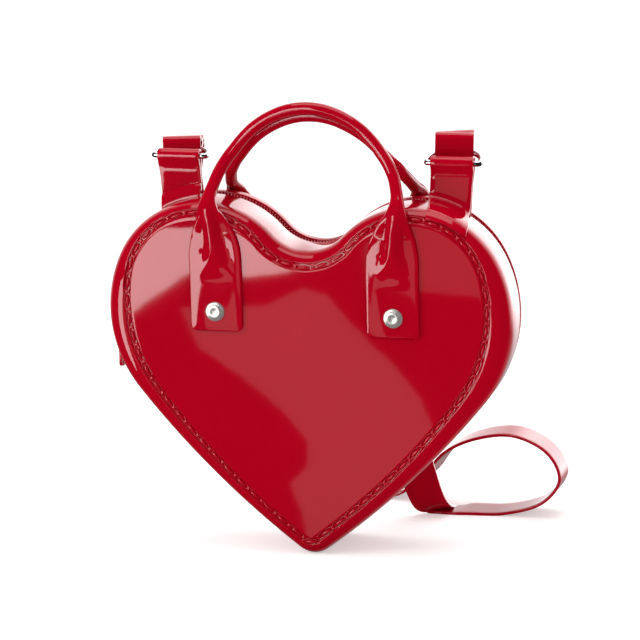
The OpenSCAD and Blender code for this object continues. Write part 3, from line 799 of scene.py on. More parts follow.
@dataclass
class Handle(Swept):
    """One moulding: a round grip that flows into two flat tabs.

    Each row of its way is a share across, a height (0 to 1 up the tabs, 1 to 2 up the grip), how far the
    section is flared to a tab, and how far it has left the panel.
    """

    shell: Shell
    apex_y: float
    sag: float
    span: float = 83.6
    top: float = 206.1
    grip_d: float = 5.6
    tab_w: float = 24.4
    tab_t: float = 1.8
    tab_low: float = 104.55
    spread_z: float = 162.0
    corner: float = 3.0
    round_from: float = 150.0
    round_over: float = 18.0
    ridge_from: float = 128.0
    ridge_over: float = 22.0
    ridge_half: float = 10.0
    ridge_swell_share: float = 1.2
    end_round: float = 0.7
    tab_square: float = 0.35
    grip_square: float = 0.5
    steps: int = 6
    around: int = 44
    way: tuple[tuple[float, float, float, float], ...] = (
        (0.99, 0, 1, 0), (0.99, 0.01, 1, 0), (0.99, 0.03, 1, 0), (0.99, 0.055, 1, 0),
        (0.99, 0.27, 1, 0), (0.99, 0.48, 1, 0), (0.995, 0.62, 0.99, 0), (1, 0.7, 0.92, 0),
        (1.01, 0.775, 0.8, 0), (1.02, 0.85, 0.62, 0), (1.035, 0.915, 0.43, 0),
        (1.05, 0.975, 0.245, 0.02), (1.053, 1.065, 0.1, 0.16), (1.04, 1.15, 0.02, 0.36),
        (1.015, 1.235, 0, 0.51), (0.975, 1.34, 0, 0.68), (0.9, 1.465, 0, 0.81), (0.82, 1.565, 0, 0.89),
        (0.73, 1.67, 0, 0.95), (0.6, 1.79, 0, 0.98), (0.42, 1.9, 0, 1), (0.215, 1.975, 0, 1),
        (0, 2, 0, 1),
    )

    def roundness(self, z: np.ndarray | float) -> tuple:
        """How far the section has turned round at a height, and half its thickness there."""
        turned = ease((z - self.round_from) / self.round_over)
        return turned, mix(self.tab_t, self.grip_d, turned) / 2

    def section(self, z: float, flare: float) -> np.ndarray:
        """One section: across and outwards, with a flat back and a front that rises to a rounded ridge.

        Args:
            z: Height along the tab.
            flare: 1 for a full tab, 0 for the grip.

        Returns:
            Points round the section.
        """
        low = self.tab_low
        turned, edge = (float(v) for v in self.roundness(z))
        c = self.corner - min(self.corner, max(0.0, z - low))
        cut = self.corner - math.sqrt(max(0.0, self.corner**2 - c * c))
        half = (mix(self.grip_d, self.tab_w, flare)) / 2 - cut
        grown = float(ease((z - self.ridge_from) / self.ridge_over))
        ridge = mix(self.ridge_half, self.ridge_swell_share * self.grip_d / 2, grown)
        # The lowest section keeps a little thickness, so that its face isn't a line
        thin = math.sqrt(max(0.02, 1 - (1 - min(1.0, max(0.0, z - low + 0.02) / self.end_round)) ** 2))
        a = np.linspace(0, 2 * math.pi, self.around, endpoint=False)
        u, up = half * np.cos(a), np.sin(a)
        square = self.tab_square if turned < 0.01 else mix(self.tab_square, self.grip_square, turned)
        flat = edge * np.sign(up) * np.abs(up) ** square
        flat = np.where(up > 0, -edge + (flat + edge) * thin, flat)
        crest = np.maximum(0, 1 - (u / ridge) ** 2) ** 1.5
        lump = np.where(up > 0, (self.grip_d - self.tab_t) * grown * (1 - turned) * crest, 0)
        return np.stack([u, mix(flat, edge * up, turned) + lump], axis=-1)

    def rings(self) -> np.ndarray:
        """The sections from one tab's end over the grip to the other's."""
        sense, face = self.shell.side.value, self.shell.panel_y
        rows = [list(q) for q in self.way]
        rows += [[-q[0], *q[1:]] for q in reversed(self.way[:-1])]
        stops = spline(np.array(rows, float), self.steps)
        z = np.where(
            stops[:, 1] < 1,
            mix(self.tab_low, self.spread_z, stops[:, 1]),
            mix(self.spread_z, self.top, stops[:, 1] - 1),
        )
        turned, edge = self.roundness(z)
        lean = self.apex_y - face - sense * self.grip_d / 2
        x = stops[:, 0] * self.span / 2
        rise = self.shell.rise(np.stack([x, np.minimum(z, self.round_from)], axis=-1)) * (1 - turned)
        y = face + sense * (edge + rise) + lean * stops[:, 3]
        middle = np.stack([x, y, z - self.sag * stops[:, 3]], axis=-1)
        rings = []
        for i in range(len(stops)):
            run = middle[min(len(stops) - 1, i + 1)] - middle[max(0, i - 1)]
            run /= np.linalg.norm(run)
            out = np.array([run[2], 0, -run[0]]) / math.hypot(run[0], run[2])
            deep = sense * np.cross(run, out)
            q = self.section(float(z[i]), float(np.clip(stops[i, 2], 0, 1)))
            rings.append(middle[i] + q[:, :1] * out + q[:, 1:] * deep)
        return np.array(rings)


# Rivets


@dataclass
class RivetCaps:
    """Two turned caps: a flange, a step and a raised disc with a shallow groove."""

    handle: Handle
    z: float = 113.9
    around: int = 48
    profile: tuple[Pair, ...] = (
        (0.02, 1.38), (0.5, 1.38), (0.9, 1.4), (1.25, 1.48), (1.6, 1.56), (2.3, 1.6), (2.8, 1.58),
        (3.05, 1.45), (3.15, 1.2), (3.25, 1.0), (3.5, 0.94), (4.0, 0.88), (4.3, 0.7), (4.45, 0.45),
        (4.5, 0.2), (4.5, 0.0),
    )

    def build(self, name: str, finish: Material) -> Object:
        """Builds both caps as one piece.

        Args:
            name: The piece's name.
            finish: Its material.

        Returns:
            The new piece.
        """
        shell = self.handle.shell
        sense = shell.side.value
        points, faces = [], []
        for hand in Hand:
            x = hand.value * self.handle.span / 2
            rise = float(shell.rise(np.array([[x, self.z]]))[0])
            base = shell.panel_y + sense * (self.handle.tab_t + rise)
            turn = np.linspace(0, 2 * math.pi, self.around, endpoint=False)
            circle = np.stack([np.cos(turn), np.zeros(len(turn)), np.sin(turn)], axis=-1)
            rings = np.array([circle * r + (x, base + sense * h, self.z) for r, h in self.profile])
            ends = ((x, base + sense * self.profile[0][1], self.z), (x, base, self.z))
            p, f = loft(rings, ends)
            faces += [[k + len(points) for k in one] for one in f]
            points += list(p)
        return mesh_piece(name, np.array(points), faces, finish)


# Copies of plain solids with their edges rounded


def rounded_copy(node: str, name: str, finish: Material, width: float, segments: int = 3) -> Object:
    """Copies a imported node's mesh, joins its loose triangles and rounds its edges.

    Args:
        node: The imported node.
        name: The new piece's name.
        finish: Its material.
        width: Width of the rounding in millimetres.
        segments: Steps across the rounding.

    Returns:
        The new piece.
    """
    work = bmesh.new()
    work.from_mesh(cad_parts[node].data)
    bmesh.ops.remove_doubles(work, verts=work.verts, dist=WELD_M)
    bmesh.ops.dissolve_limit(work, angle_limit=math.radians(FLAT_DEG), verts=work.verts, edges=work.edges)
    mesh = bpy.data.meshes.new(name)
    work.to_mesh(mesh)
    work.free()
    mesh.materials.append(finish)
    piece = linked(name, mesh)
    bevel = piece.modifiers.new("Rounded", "BEVEL")
    bevel.width = width * MM
    bevel.segments = segments
    bevel.limit_method = "ANGLE"
    bevel.angle_limit = math.radians(EDGE_DEG)
    bevel.use_clamp_overlap = True
    bake(piece)
    piece.data.shade_smooth()
    piece.data.set_sharp_from_angle(angle=math.radians(SHARP_DEG))
    return piece


# Rings, bands and strap


def band(
    line: np.ndarray, ways: np.ndarray, width: np.ndarray, thick: np.ndarray, edge: float = 0.35
) -> np.ndarray:
    """Rings of a flat band with rounded edges.

    Args:
        line: Its middle line.
        ways: The way of its width at each point.
        width: Its width at each point.
        thick: Its thickness at each point.
        edge: Radius of its edges.

    Returns:
        Points by ring and place on the ring.
    """
    rings = []
    for i, place in enumerate(line):
        w, t = width[i] / 2, thick[i] / 2
        r = min(edge, t * 0.95)
        corner = [(w - r + r * math.cos(a), t - r + r * math.sin(a)) for a in np.radians((0, 30, 60, 90))]
        middle = [(w * s, t) for s in (0.7, 0.35, 0, -0.35, -0.7)]
        upper = corner + middle + [(-x, y) for x, y in reversed(corner)]
        section = np.array(upper + [(-x, -y) for x, y in upper])
        run = line[min(len(line) - 1, i + 1)] - line[max(0, i - 1)]
        side = np.asarray(ways[i], float) / np.linalg.norm(ways[i])
        up = np.cross(side, run)
        rings.append(place + section[:, :1] * side + section[:, 1:] * up / np.linalg.norm(up))
    return np.array(rings)


@dataclass(frozen=True)
class Hang:
    """How one ring hangs in its tab's fold, and how the strap's end lies in it, with angles in degrees."""

    hand: Hand
    lean: float
    drift: float
    loop_rise: float
    tilt: float = 0.0
    fold_x: float = 64.4
    fold_z: float = 180.7
    side_l: float = 2.0
    reach: float = 27.4


@dataclass
class RingTab(Swept):
    """A strip folded round a ring's bar and run down to the bag: its foot flows out over the shell.

    The rows of the leg are y and height. Those of the collar and of the ramp are y, height over the shell
    and share of the thickness.
    """

    heart: Heart
    hang: Hang
    width_top: float = 19.8
    width_low: float = 18.6
    layer: float = 1.75
    low_x: float = 62.8
    fold_r: float = 2.3
    lobe_share: float = 0.995
    sunk: float = 0.6
    straight: float = 5.0
    narrow_under: float = 3.0
    near_from: float = 3.0
    near_over: float = 8.0
    foot_shift: float = 3.2
    shift_from: float = 1.5
    shift_over: float = 17.0
    leg: tuple[Pair, ...] = ((0.9, 171.0), (0.92, 175.4), (1.35, 177.6))
    collar: tuple[Triple, ...] = (
        (-1.0, 6.2, 1.0), (-1.1, 5.4, 1.1), (-1.6, 5.0, 1.6), (-2.2, 4.6, 2.0), (-3.3, 2.7, 2.0),
        (-4.6, 0.6, 1.6), (-5.2, -0.4, 1.0),
    )
    ramp: tuple[Triple, ...] = (
        (-0.95, 6.4, 1.0), (-1.3, 4.4, 1.0), (-2.3, 2.9, 1.0), (-4.2, 1.7, 1.0), (-7.0, 1.05, 1.0),
        (-11.0, 0.85, 1.0), (-14.6, 0.75, 0.95), (-17.2, 0.35, 0.9), (-19.4, -0.55, 0.8),
        (-21.0, -1.75, 0.6), (-21.75, -2.7, 0.35),
    )

    def ground(self, x: np.ndarray | float) -> np.ndarray:
        """Height of the shell's side wall under the tab at an x."""
        lobe = self.heart.edge[3]
        return lobe.z + np.sqrt(lobe.radius**2 - (np.abs(x) - lobe.x) ** 2) * self.lobe_share

    def rows(self) -> np.ndarray:
        """The strip's middle line: y, height and thickness share."""
        turn = np.radians(np.linspace(-38, 218, 17))
        base = float(self.ground(self.low_x))
        y, up, r = self.leg[0][0], self.hang.fold_z, self.fold_r
        fold = [(r * math.cos(a), up + r * math.sin(a), 1) for a in turn]
        back = [(y, base - self.sunk, 1), (y, base + self.straight, 1)] + [(*stop, 1) for stop in self.leg]
        front = [(-y, z, 1) for y, z in reversed(self.leg)]
        foot = self.ramp if self.hang.hand is Hand.RIGHT else self.collar
        return np.array(back + fold + front + [(y, base + rise, share) for y, rise, share in foot], float)

    def rings(self) -> np.ndarray:
        """The strip's sections, with its foot on the lobe."""
        rows = spline(self.rows(), 4)
        base = float(self.ground(self.low_x))
        top = self.hang.fold_z - self.narrow_under
        low = np.clip((top - rows[:, 1]) / (top - base), 0, 1)
        near = 1 - ease((rows[:, 1] - base - self.near_from) / self.near_over)
        shift = self.foot_shift if self.hang.hand is Hand.RIGHT else 0
        forward = ease((-rows[:, 0] - self.shift_from) / self.shift_over) * shift
        x = self.hang.hand.value * (mix(self.hang.fold_x, self.low_x, low) + forward)
        line = np.stack([x, rows[:, 0], rows[:, 1] + near * (self.ground(x) - base)], axis=-1)
        width = mix(self.width_top, self.width_low, low)
        rings = band(line, np.tile((1.0, 0, 0), (len(line), 1)), width, self.layer * rows[:, 2])
        slope = self.ground(rings[:, :, 0]) - self.ground(x)[:, None]
        rings[:, :, 2] += slope * near[:, None]
        return rings


@dataclass
class StrapFold(Swept):
    """The strap's end, folded round the ring as a loose loop and welded to itself.

    Each row of the loop is a place along it, a share of the loop's rise and a height added to that.
    """

    hang: Hang
    width: float = 17.5
    layer: float = 1.5
    tilt_over: float = 14.0
    loop: tuple[Triple, ...] = (
        (27.4, 0, -0.76), (22.0, 0, -0.78), (17.5, 0, -1.5), (13.5, 0, -2.3), (10.6, 0, -2.5),
        (8.9, 0, -2.0), (7.9, 0, -0.6), (7.6, 0.3, 0), (7.9, 0.62, 0), (8.5, 0.88, 0), (9.5, 1, 0),
        (11.0, 0.985, 0), (14.0, 0.8, 0), (18.0, 0.48, 0), (22.0, 0.22, 0.35), (25.0, 0, 0.95),
        (27.4, 0, 0.76),
    )

    def rings(self) -> np.ndarray:
        """The strip's sections, placed on its ring."""
        hang = self.hang
        rise = hang.loop_rise
        rows = spline(np.array([(along, rise * share + high) for along, share, high in self.loop]), 5)
        n = len(rows)
        line = np.column_stack([np.zeros(n), rows])
        rings = band(line, np.tile((1.0, 0, 0), (n, 1)), np.full(n, self.width), np.full(n, self.layer))
        tilt = math.radians(hang.tilt) * ease((hang.reach - rings[:, :, 1]) / self.tilt_over)
        across, up = rings[:, :, 0].copy(), rings[:, :, 2].copy()
        rings[:, :, 0] = across * np.cos(tilt) + up * np.sin(tilt)
        rings[:, :, 2] = up * np.cos(tilt) - across * np.sin(tilt)
        turn = (
            Matrix.Translation((hang.hand.value * hang.fold_x, 0, hang.fold_z))
            @ Matrix.Rotation(math.radians(hang.lean), 4, "X")
            @ Matrix.Translation((0, hang.side_l, 0))
            @ Matrix.Rotation(math.radians(hang.drift), 4, "Z")
        )
        flat = rings.reshape(-1, 3) @ np.array(turn.to_3x3()).T + np.array(turn.translation)
        return flat.reshape(rings.shape)


@dataclass
class HangingRing:
    """A D-ring: a bar in the tab's fold, two short sides and a half circle."""

    hang: Hang
    wire_d: float = 2.6
    width: float = 27.4
    corner: float = 0.9
    around: int = 20

    def path(self) -> np.ndarray:
        """The wire's middle line in the ring's own plane."""
        r, c = (self.width - self.wire_d) / 2, self.corner
        bar = [(mix(-r + c, r - c, t), 0.0) for t in np.linspace(0, 1, 12, endpoint=False)]
        out = [(r - c, 0.0)]
        out += [(r - c + c * math.sin(a), c - c * math.cos(a)) for a in np.radians((22.5, 45, 67.5, 90))]
        half = np.radians(np.linspace(0, 180, 49))
        out += [(r * math.cos(a), self.hang.side_l + r * math.sin(a)) for a in half]
        out += [(-r + c - c * math.cos(a), c - c * math.sin(a)) for a in np.radians((0, 22.5, 45, 67.5))]
        return np.array(bar + out)

    def build(self, name: str, finish: Material) -> Object:
        """Sweeps the wire round its line.

        Args:
            name: The ring's name.
            finish: Its material.

        Returns:
            The new piece, an endless wire.
        """
        line = self.path()
        n = len(line)
        r = self.wire_d / 2
        a = np.linspace(0, 2 * math.pi, self.around, endpoint=False)
        rings = []
        for i in range(n):
            run = line[(i + 1) % n] - line[i - 1]
            run /= np.linalg.norm(run)
            out = np.array([run[1], -run[0]])
            flat = line[i] + (r * np.cos(a))[:, None] * out
            rings.append(np.column_stack([flat, r * np.sin(a)]))
        rings.append(rings[0])
        hang = self.hang
        turn = np.array(Matrix.Rotation(math.radians(hang.lean), 3, "X"))
        placed = np.array(rings) @ turn.T + (hang.hand.value * hang.fold_x, 0, hang.fold_z)
        points, faces = loft(placed)
        # The last two faces would cap the wire where its ends meet
        return mesh_piece(name, points, faces[:-2], finish)


@dataclass
class ShoulderStrap(Swept):
    """The flat strap. Its stops repeat the source's route from the right ring to the left.

    Each stop is a place in metres and the way of the strap's width.
    """

    left: Hang
    right: Hang
    width: float = 17.5
    thick: float = 1.5
    gap: float = 0.3
    start_l: float = 6.0
    steps: int = 7
    stops: tuple[tuple[float, ...], ...] = (
        (0.0545, 0.043, 0.184, 1, 0.2, 0), (0.052, 0.052, 0.173, 1, 0.1, 0),
        (0.051, 0.055, 0.155, 1, 0, 0), (0.049, 0.056, 0.125, 1, 0, 0), (0.044, 0.054, 0.095, 1, 0, 0),
        (0.033, 0.048, 0.066, 1, 0, 0.1), (0.03, 0.045, 0.042, 1, 0, 0.1),
        (0.0335, 0.0465, 0.022, 1, 0.05, 0.1), (0.0375, 0.051, 0.007, 1, 0.15, 0),
        (0.041, 0.061, 0.0008, 1.1, 1.1, 0), (0.054, 0.064, 0.0008, 0, 1, 0),
        (0.072, 0.066, 0.0012, 0, 1, 0), (0.09, 0.066, 0.007, 0, 1, 0), (0.099, 0.066, 0.019, 0, 1, 0),
        (0.093, 0.066, 0.032, 0, 1, 0), (0.077, 0.067, 0.039, 0, 1, 0), (0.059, 0.069, 0.0365, 0, 1, 0),
        (0.043, 0.073, 0.028, 0.1, 1, 0), (0.03, 0.079, 0.013, 0.2, 1, 0),
        (0.014, 0.084, 0.002, 0.1, 1, 0), (-0.012, 0.085, 0.0008, 0, 1, 0),
        (-0.042, 0.085, 0.0008, 0, 1, 0), (-0.05, 0.085, 0.0048, 0, 1, 0),
        (-0.042, 0.085, 0.0088, 0, 1, 0), (0.004, 0.085, 0.0088, 0, 1, 0),
        (0.012, 0.085, 0.0128, 0, 1, 0), (0.004, 0.085, 0.0168, 0, 1, 0),
        (-0.052, 0.085, 0.0168, 0, 1, 0), (-0.06, 0.085, 0.0208, 0, 1, 0),
        (-0.052, 0.085, 0.0248, 0, 1, 0), (0.006, 0.085, 0.0248, 0, 1, 0),
        (0.014, 0.085, 0.0288, 0, 1, 0), (0.006, 0.085, 0.0328, 0, 1, 0),
        (-0.034, 0.084, 0.0335, 0.1, 1, 0), (-0.056, 0.078, 0.044, 0.6, 0.8, 0),
        (-0.066, 0.068, 0.075, 0.9, 0.4, 0), (-0.072, 0.058, 0.108, 1, -0.2, 0),
        (-0.077, 0.053, 0.14, 0.93, -0.37, 0), (-0.077, 0.049, 0.163, 0.93, -0.37, 0),
        (-0.0745, 0.041, 0.177, 1, 0.2, 0),
    )

    def end_stop(self, hang: Hang, further: float) -> list[float]:
        """A stop just past a folded end.

        Args:
            hang: How the end hangs.
            further: How far past the folded end, in millimetres.

        Returns:
            The place in metres and the way of the width.
        """
        lean, drift = math.radians(hang.lean), math.radians(hang.drift)
        reach = hang.reach + further
        y = hang.side_l + reach * math.cos(drift)
        half = self.thick / 2
        place = [
            hang.hand.value * hang.fold_x - reach * math.sin(drift),
            y * math.cos(lean) - half * math.sin(lean),
            hang.fold_z + y * math.sin(lean) + half * math.cos(lean),
        ]
        way = [math.cos(drift), math.sin(drift) * math.cos(lean), math.sin(drift) * math.sin(lean)]
        return [v * MM for v in place] + way

    def line(self) -> np.ndarray:
        """Stops from ring to ring as a fine curve: place in metres and way of the width."""
        start = [self.end_stop(self.right, f) for f in (self.gap, self.start_l)]
        end = [self.end_stop(self.left, f) for f in (self.start_l, self.gap)]
        return spline(np.array(start + [list(s) for s in self.stops] + end), self.steps)

    def rings(self) -> np.ndarray:
        """The strip's sections along the route."""
        fine = self.line()
        n = len(fine)
        return band(fine[:, :3] / MM, fine[:, 3:], np.full(n, self.width), np.full(n, self.thick))


# Studio


@dataclass(frozen=True)
class Card:
    """A glowing card that only reflections see, given by where the front panel mirrors it to the camera."""

    name: str
    corners: tuple[Pair, ...]
    away: float
    glow: float


@dataclass(frozen=True)
class Lamp:
    """A soft box: its place and size in metres and its power in watts."""

    name: str
    place: Triple
    size: Pair
    power: float


@dataclass(frozen=True)
class Ramp:
    """A smooth step: where it starts and ends, and the numbers before and after it."""

    start: float
    end: float
    before: float
    after: float


@dataclass
class Studio:
    """Floor, lamps, cards and the camera of the photograph.

    The sheet above is one more card: a height, a brightness and its corners. The ramps shape what the world
    shows in reflections, by each coordinate of the way to it.
    """

    yaw: float = 16.0
    height: float = 13.0
    roll: float = -0.025
    distance: float = 1800.0
    aim: Triple = (0.0, 7.0, 110.0)
    lens: float = 220.4
    shift: Pair = (-0.00434, -0.01934)
    panel_y: float = -23.0
    cards: tuple[Card, ...] = (
        Card(
            "card_upper_left",
            (
                (-430, 165), (-430, -140), (-140, 76), (-80, 121), (-57, 137),
                (-30, 135), (-8, 139), (15, 150), (15, 165),
            ),
            0.4,
            6.6,
        ),
        Card("card_right_high", ((32, 270), (32, 133), (140, 128), (140, 270)), 0.4, 0.5),
        Card("card_high", ((-430, 430), (-430, 215), (15, 215), (15, 430)), 0.4, 6.6),
        Card(
            "card_middle",
            (
                (-64, 118), (-20, 121), (0, 131), (12, 128), (24, 113), (44, 94), (58, 76), (75, 30),
                (40, -25), (0, -25), (-5, 12), (-10, 28), (-1, 37), (0, 50),
                (-13, 66), (-33, 83), (-55, 97),
            ),
            0.4,
            0.72,
        ),
    )
    above_z: float = 1.25
    above_glow: float = 2.2
    above: tuple[Pair, ...] = ((-0.55, -0.35), (0.45, -0.35), (0.45, 0.35), (-0.55, 0.35))
    lamp_aim: Triple = (0.0, 0.0, 0.1)
    lamps: tuple[Lamp, ...] = (
        Lamp("key_soft_box", (-1.05, -0.75, 0.75), (0.6, 0.8), 8.0),
        Lamp("top_soft_box", (0.1, 0.15, 1.5), (0.9, 0.9), 9.5),
        Lamp("fill_soft_box", (1.1, -0.5, 0.35), (0.7, 0.7), 2.0),
    )
    mirrored_y: Ramp = Ramp(0.15, 0.84, 0.0, 1.0)
    mirrored_x: Ramp = Ramp(-0.25, 0.06, 1.5, 4.2)
    mirrored_z: Ramp = Ramp(-0.32, -0.1, 0.12, 1.0)
    mirrored_least: float = 0.02
    even_light: float = 0.62
    floor_half: float = 6.0
    floor_lift: float = 0.43

    def axes(self) -> tuple[Vector, Vector, Vector]:
        """The camera's right, up and back directions."""
        a, e = math.radians(self.yaw), math.radians(self.height)
        back = Vector((math.sin(a) * math.cos(e), -math.cos(a) * math.cos(e), math.sin(e)))
        right = Vector((math.cos(a), math.sin(a), 0))
        up = right.cross(-back)
        c, s = math.cos(self.roll), math.sin(self.roll)
        return right * c + up * s, up * c - right * s, back

    def make_camera(self) -> None:
        """Makes the camera and sets it as the scene's."""
        right, up, back = self.axes()
        data = bpy.data.cameras.new("camera")
        data.lens, data.sensor_width = self.lens, 36.0
        data.shift_x, data.shift_y = self.shift
        data.clip_start, data.clip_end = 0.01, 100.0
        camera = linked("camera", data)
        turn = Matrix((right, up, back)).transposed()
        camera.matrix_world = Matrix(
            [[*row, place] for row, place in zip(turn, self.eye() * MM)] + [[0, 0, 0, 1]]
        )
        bpy.context.scene.camera = camera

    def eye(self) -> Vector:
        """The camera's place in millimetres."""
        return Vector(self.aim) + self.axes()[2] * self.distance

    def make_card(self, card: Card) -> None:
        """Makes a card on the lines from the mirrored camera through its corners on the panel.

        Args:
            card: The card.
        """
        eye = self.eye()
        mirrored = Vector((eye.x, 2 * self.panel_y - eye.y, eye.z))
        points = []
        for x, z in card.corners:
            on_panel = Vector((x, self.panel_y, z))
            points.append((on_panel + (on_panel - mirrored) * card.away) * MM)
        self.make_sheet(card.name, points, card.glow)

    def make_sheet(self, name: str, points: Sequence[Vector], strength: float) -> None:
        """Makes a flat glowing sheet that only reflections see.

        Args:
            name: The sheet's name.
            points: Its corners in metres.
            strength: How bright it glows.
        """
        mesh = bpy.data.meshes.new(name)
        mesh.from_pydata([tuple(p) for p in points], [], [tuple(range(len(points)))])
        material = bare_material(name)
        tree = material.node_tree
        glow = add(tree, "ShaderNodeEmission", {"Strength": strength})
        add(tree, "ShaderNodeOutputMaterial", {"Surface": glow.outputs[0]})
        mesh.materials.append(material)
        piece = linked(name, mesh)
        piece.visible_camera = False
        piece.visible_diffuse = False
        piece.visible_shadow = False
        piece.visible_transmission = False

    def make_lamp(self, lamp: Lamp) -> None:
        """Makes one soft box that reflections don't see.

        Args:
            lamp: The soft box.
        """
        data = bpy.data.lights.new(lamp.name, "AREA")
        data.shape = "RECTANGLE"
        data.size, data.size_y = lamp.size
        data.energy = lamp.power
        item = linked(lamp.name, data)
        item.location = lamp.place
        item.rotation_euler = (Vector(self.lamp_aim) - Vector(lamp.place)).to_track_quat("-Z", "Y").to_euler()
        item.visible_camera = False
        item.visible_glossy = False

    def make_world(self) -> None:
        """Makes a world that is white to the camera, even on the object, and bright behind in reflections."""
        world = bpy.data.worlds.new("studio")
        bpy.context.scene.world = world
        world.use_nodes = True
        tree = world.node_tree
        tree.nodes.clear()
        way = add(tree, "ShaderNodeTexCoord")
        parts = add(tree, "ShaderNodeSeparateXYZ", {0: way.outputs["Generated"]})
        behind = self.ramp(tree, parts.outputs["Y"], self.mirrored_y)
        across = self.ramp(tree, parts.outputs["X"], self.mirrored_x)
        above = self.ramp(tree, parts.outputs["Z"], self.mirrored_z)
        both = add(tree, "ShaderNodeMath", {0: behind, 1: across}, operation="MULTIPLY")
        sum_of = {0: both.outputs[0], 1: above, 2: self.mirrored_least}
        mirrored = add(tree, "ShaderNodeMath", sum_of, operation="MULTIPLY_ADD")
        path = add(tree, "ShaderNodeLightPath")
        even, glossy, plain = (
            add(tree, "ShaderNodeBackground", {"Color": linear(colour), "Strength": strength}).outputs[0]
            for colour, strength in (
                ("#FFFFFF", self.even_light),
                ("#FFF8F9", mirrored.outputs[0]),
                ("#FFFFFF", 1.0),
            )
        )
        first = add(tree, "ShaderNodeMixShader", {0: path.outputs["Is Glossy Ray"], 1: even, 2: glossy})
        seen = {0: path.outputs["Is Camera Ray"], 1: first.outputs[0], 2: plain}
        last = add(tree, "ShaderNodeMixShader", seen)
        add(tree, "ShaderNodeOutputWorld", {"Surface": last.outputs[0]})

    def ramp(self, tree: NodeTree, value: NodeSocket, step: Ramp) -> NodeSocket:
        """A smooth step of a value from one number to another.

        Args:
            tree: The node tree.
            value: The socket that it reads.
            step: Where the step lies, and its numbers.

        Returns:
            The result's socket.
        """
        sockets = {"Value": value, "From Min": step.start, "From Max": step.end}
        sockets |= {"To Min": step.before, "To Max": step.after}
        return add(tree, "ShaderNodeMapRange", sockets, interpolation_type="SMOOTHSTEP").outputs["Result"]

    def make_floor(self) -> None:
        """A large white floor, lifted to white for the camera so that only the object's shadow is left."""
        mesh = bpy.data.meshes.new("floor")
        half = self.floor_half
        corners = [(-half, -half, 0), (half, -half, 0), (half, half, 0), (-half, half, 0)]
        mesh.from_pydata(corners, [], [(0, 1, 2, 3)])
        material = bare_material("studio_paper")
        tree = material.node_tree
        paper = add(tree, "ShaderNodeBsdfDiffuse", {"Color": linear("#F4F4F4")})
        path = add(tree, "ShaderNodeLightPath")
        share = {0: path.outputs["Is Camera Ray"], 1: self.floor_lift}
        lift = add(tree, "ShaderNodeMath", share, operation="MULTIPLY")
        glow = add(tree, "ShaderNodeEmission", {"Strength": lift.outputs[0]})
        both = add(tree, "ShaderNodeAddShader", {0: paper.outputs[0], 1: glow.outputs[0]})
        add(tree, "ShaderNodeOutputMaterial", {"Surface": both.outputs[0]})
        mesh.materials.append(material)
        floor = linked("floor", mesh)
        floor.visible_glossy = False

    def build(self) -> None:
        """Sets up the whole studio."""
        self.make_floor()
        self.make_world()
        for lamp in self.lamps:
            self.make_lamp(lamp)
        for card in self.cards:
            self.make_card(card)
        above = [Vector((x, y, self.above_z)) for x, y in self.above]
        self.make_sheet("card_above", above, self.above_glow)
        bpy.context.scene.view_settings.view_transform = "Standard"


# The bag


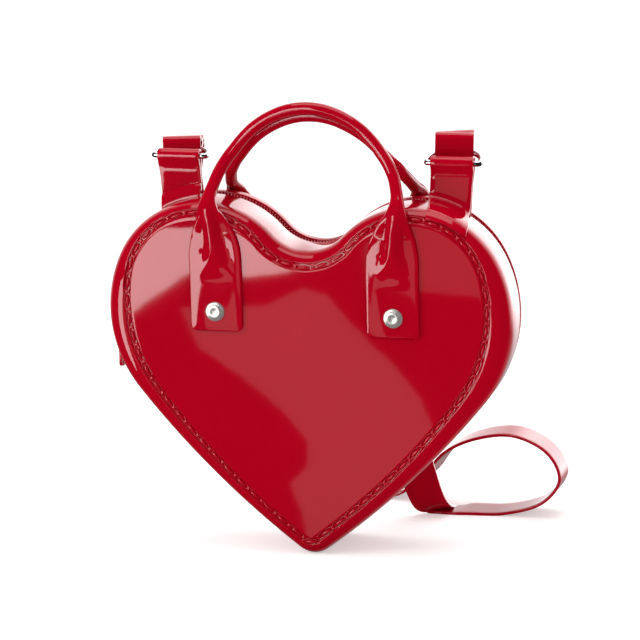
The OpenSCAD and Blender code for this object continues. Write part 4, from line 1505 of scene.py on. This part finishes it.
@dataclass
class Purse:
    """Builds every sub-assembly in order and says which body each piece rides on."""

    palette: Palette
    heart: Heart = field(default_factory=Heart)
    left: Hang = Hang(Hand.LEFT, 2.0, 14.0, 5.6)
    right: Hang = Hang(Hand.RIGHT, 12.0, 12.0, 9.0, tilt=5.0)
    bend: Pair = (98.5, 110.0)

    def __post_init__(self) -> None:
        """Sets up both shells."""
        self.front = Shell(self.heart, Side.FRONT, panel_y=-23.0, rim_y=2.0)
        self.back = Shell(self.heart, Side.BACK, panel_y=19.0, rim_y=2.0, panel_share=0.975)

    def settle(self, piece: Object, body: str, slot: str, *nodes: str) -> None:
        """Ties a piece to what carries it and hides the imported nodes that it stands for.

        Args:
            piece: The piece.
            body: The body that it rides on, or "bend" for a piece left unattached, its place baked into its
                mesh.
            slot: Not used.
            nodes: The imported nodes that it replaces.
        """
        if body == "bend":
            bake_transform(piece)
        else:
            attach(piece, body)
        if nodes:
            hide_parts(*nodes)
        LOG.info("%s goes with %s, %d faces", piece.name, body, len(piece.data.polygons))

    def make_strap(self) -> None:
        """The strap, its folded ends and the rings."""
        strap = ShoulderStrap(self.left, self.right)
        piece = strap.build("strap_strip", self.palette.strip)
        self.settle(piece, "strap", "strap_pvc", "shoulder_strap")
        for hang in (self.left, self.right):
            word = hang.hand.name.lower()
            ring = HangingRing(hang).build("d_ring_" + word, self.palette.chrome)
            self.settle(ring, "strap", "chromed_steel", "ring_" + word)
            end = StrapFold(hang).build("strap_fold_" + word, self.palette.strip)
            self.settle(end, "strap", "strap_pvc", "strap_end_" + word)
            tab = RingTab(self.heart, hang).build("ring_tab_" + word, self.palette.strip)
            self.settle(tab, "case", "red_pvc", "strap_tab_" + word)

    def make_shells(self) -> None:
        """Both shells and their moulded stitches."""
        front = self.front.build("front_moulding", self.palette.shell)
        self.settle(front, "case", "red_pvc", "front_shell")
        back = self.back.build("back_moulding", self.palette.shell)
        self.settle(back, "bend", "red_pvc", "rear_shell", "rear_shell_flap")
        stitching = Stitching()
        for shell, name, body in (
            (self.front, "front_stitches", "case"),
            (self.back, "back_stitches", "bend"),
        ):
            self.settle(stitching.build(shell, name, self.palette.stitch), body, "red_pvc")

    def make_zip(self) -> None:
        """Teeth along both rims, and the slider with its pull."""
        for name, y, share, body, node in (
            ("zip_teeth_front", 3.9, 0.99, "case", "zip_coil_front"),
            ("zip_teeth_back", 6.1, 0.978, "flap", "zip_coil_rear"),
        ):
            teeth = Teeth(self.heart, y, share).build(name, self.palette.coil)
            self.settle(teeth, body, "zip_coil", node)
        for node, name, width, body, slot, finish in (
            ("zip_slider", "slider", 0.25, "case", "painted_zinc", self.palette.lacquer),
            ("zip_pull", "pull_strip", 0.3, "pull", "red_pvc", self.palette.strip),
        ):
            self.settle(rounded_copy(node, name, finish, width), body, slot, node)

    def make_handles(self) -> None:
        """Both handles with their rivet caps."""
        for shell, apex, sag, body, word in (
            (self.front, -10.5, 0.0, "case", "front"),
            (self.back, -5.0, 4.4, "flap", "rear"),
        ):
            handle = Handle(shell, apex, sag)
            piece = handle.build(word + "_handle_moulding", self.palette.shell)
            self.settle(piece, body, "red_pvc", word + "_handle")
            caps = RivetCaps(handle).build(word + "_caps", self.palette.nickel)
            self.settle(caps, body, "chromed_steel", word + "_rivet_caps")

    def dress_nodes(self) -> None:
        """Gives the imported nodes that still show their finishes."""
        finishes = {
            "zip_tape_front": self.palette.tape,
            "zip_tape_rear": self.palette.tape,
            "zip_stops": self.palette.coil,
            "zip_pull_link": self.palette.chrome,
        }
        for node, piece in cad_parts.items():
            finish = finishes.get(node, self.palette.chrome if "rivet" in node else None)
            if finish is not None and not piece.hide_render:
                piece.data.materials.clear()
                piece.data.materials.append(finish)
                LOG.info("%s keeps its packed shape", node)

    def build(self) -> None:
        """Builds the bag: the strap first, because its room decides the most."""
        for make in (self.make_strap, self.make_shells, self.make_zip, self.make_handles, self.dress_nodes):
            make()


def main() -> None:
    """Builds the studio and the bag."""
    logging.basicConfig(level=logging.INFO, format="%(name)s: %(message)s")
    studio = Studio()
    studio.make_camera()
    Purse(Palette()).build()
    studio.build()


if __name__ == "__main__":
    main()
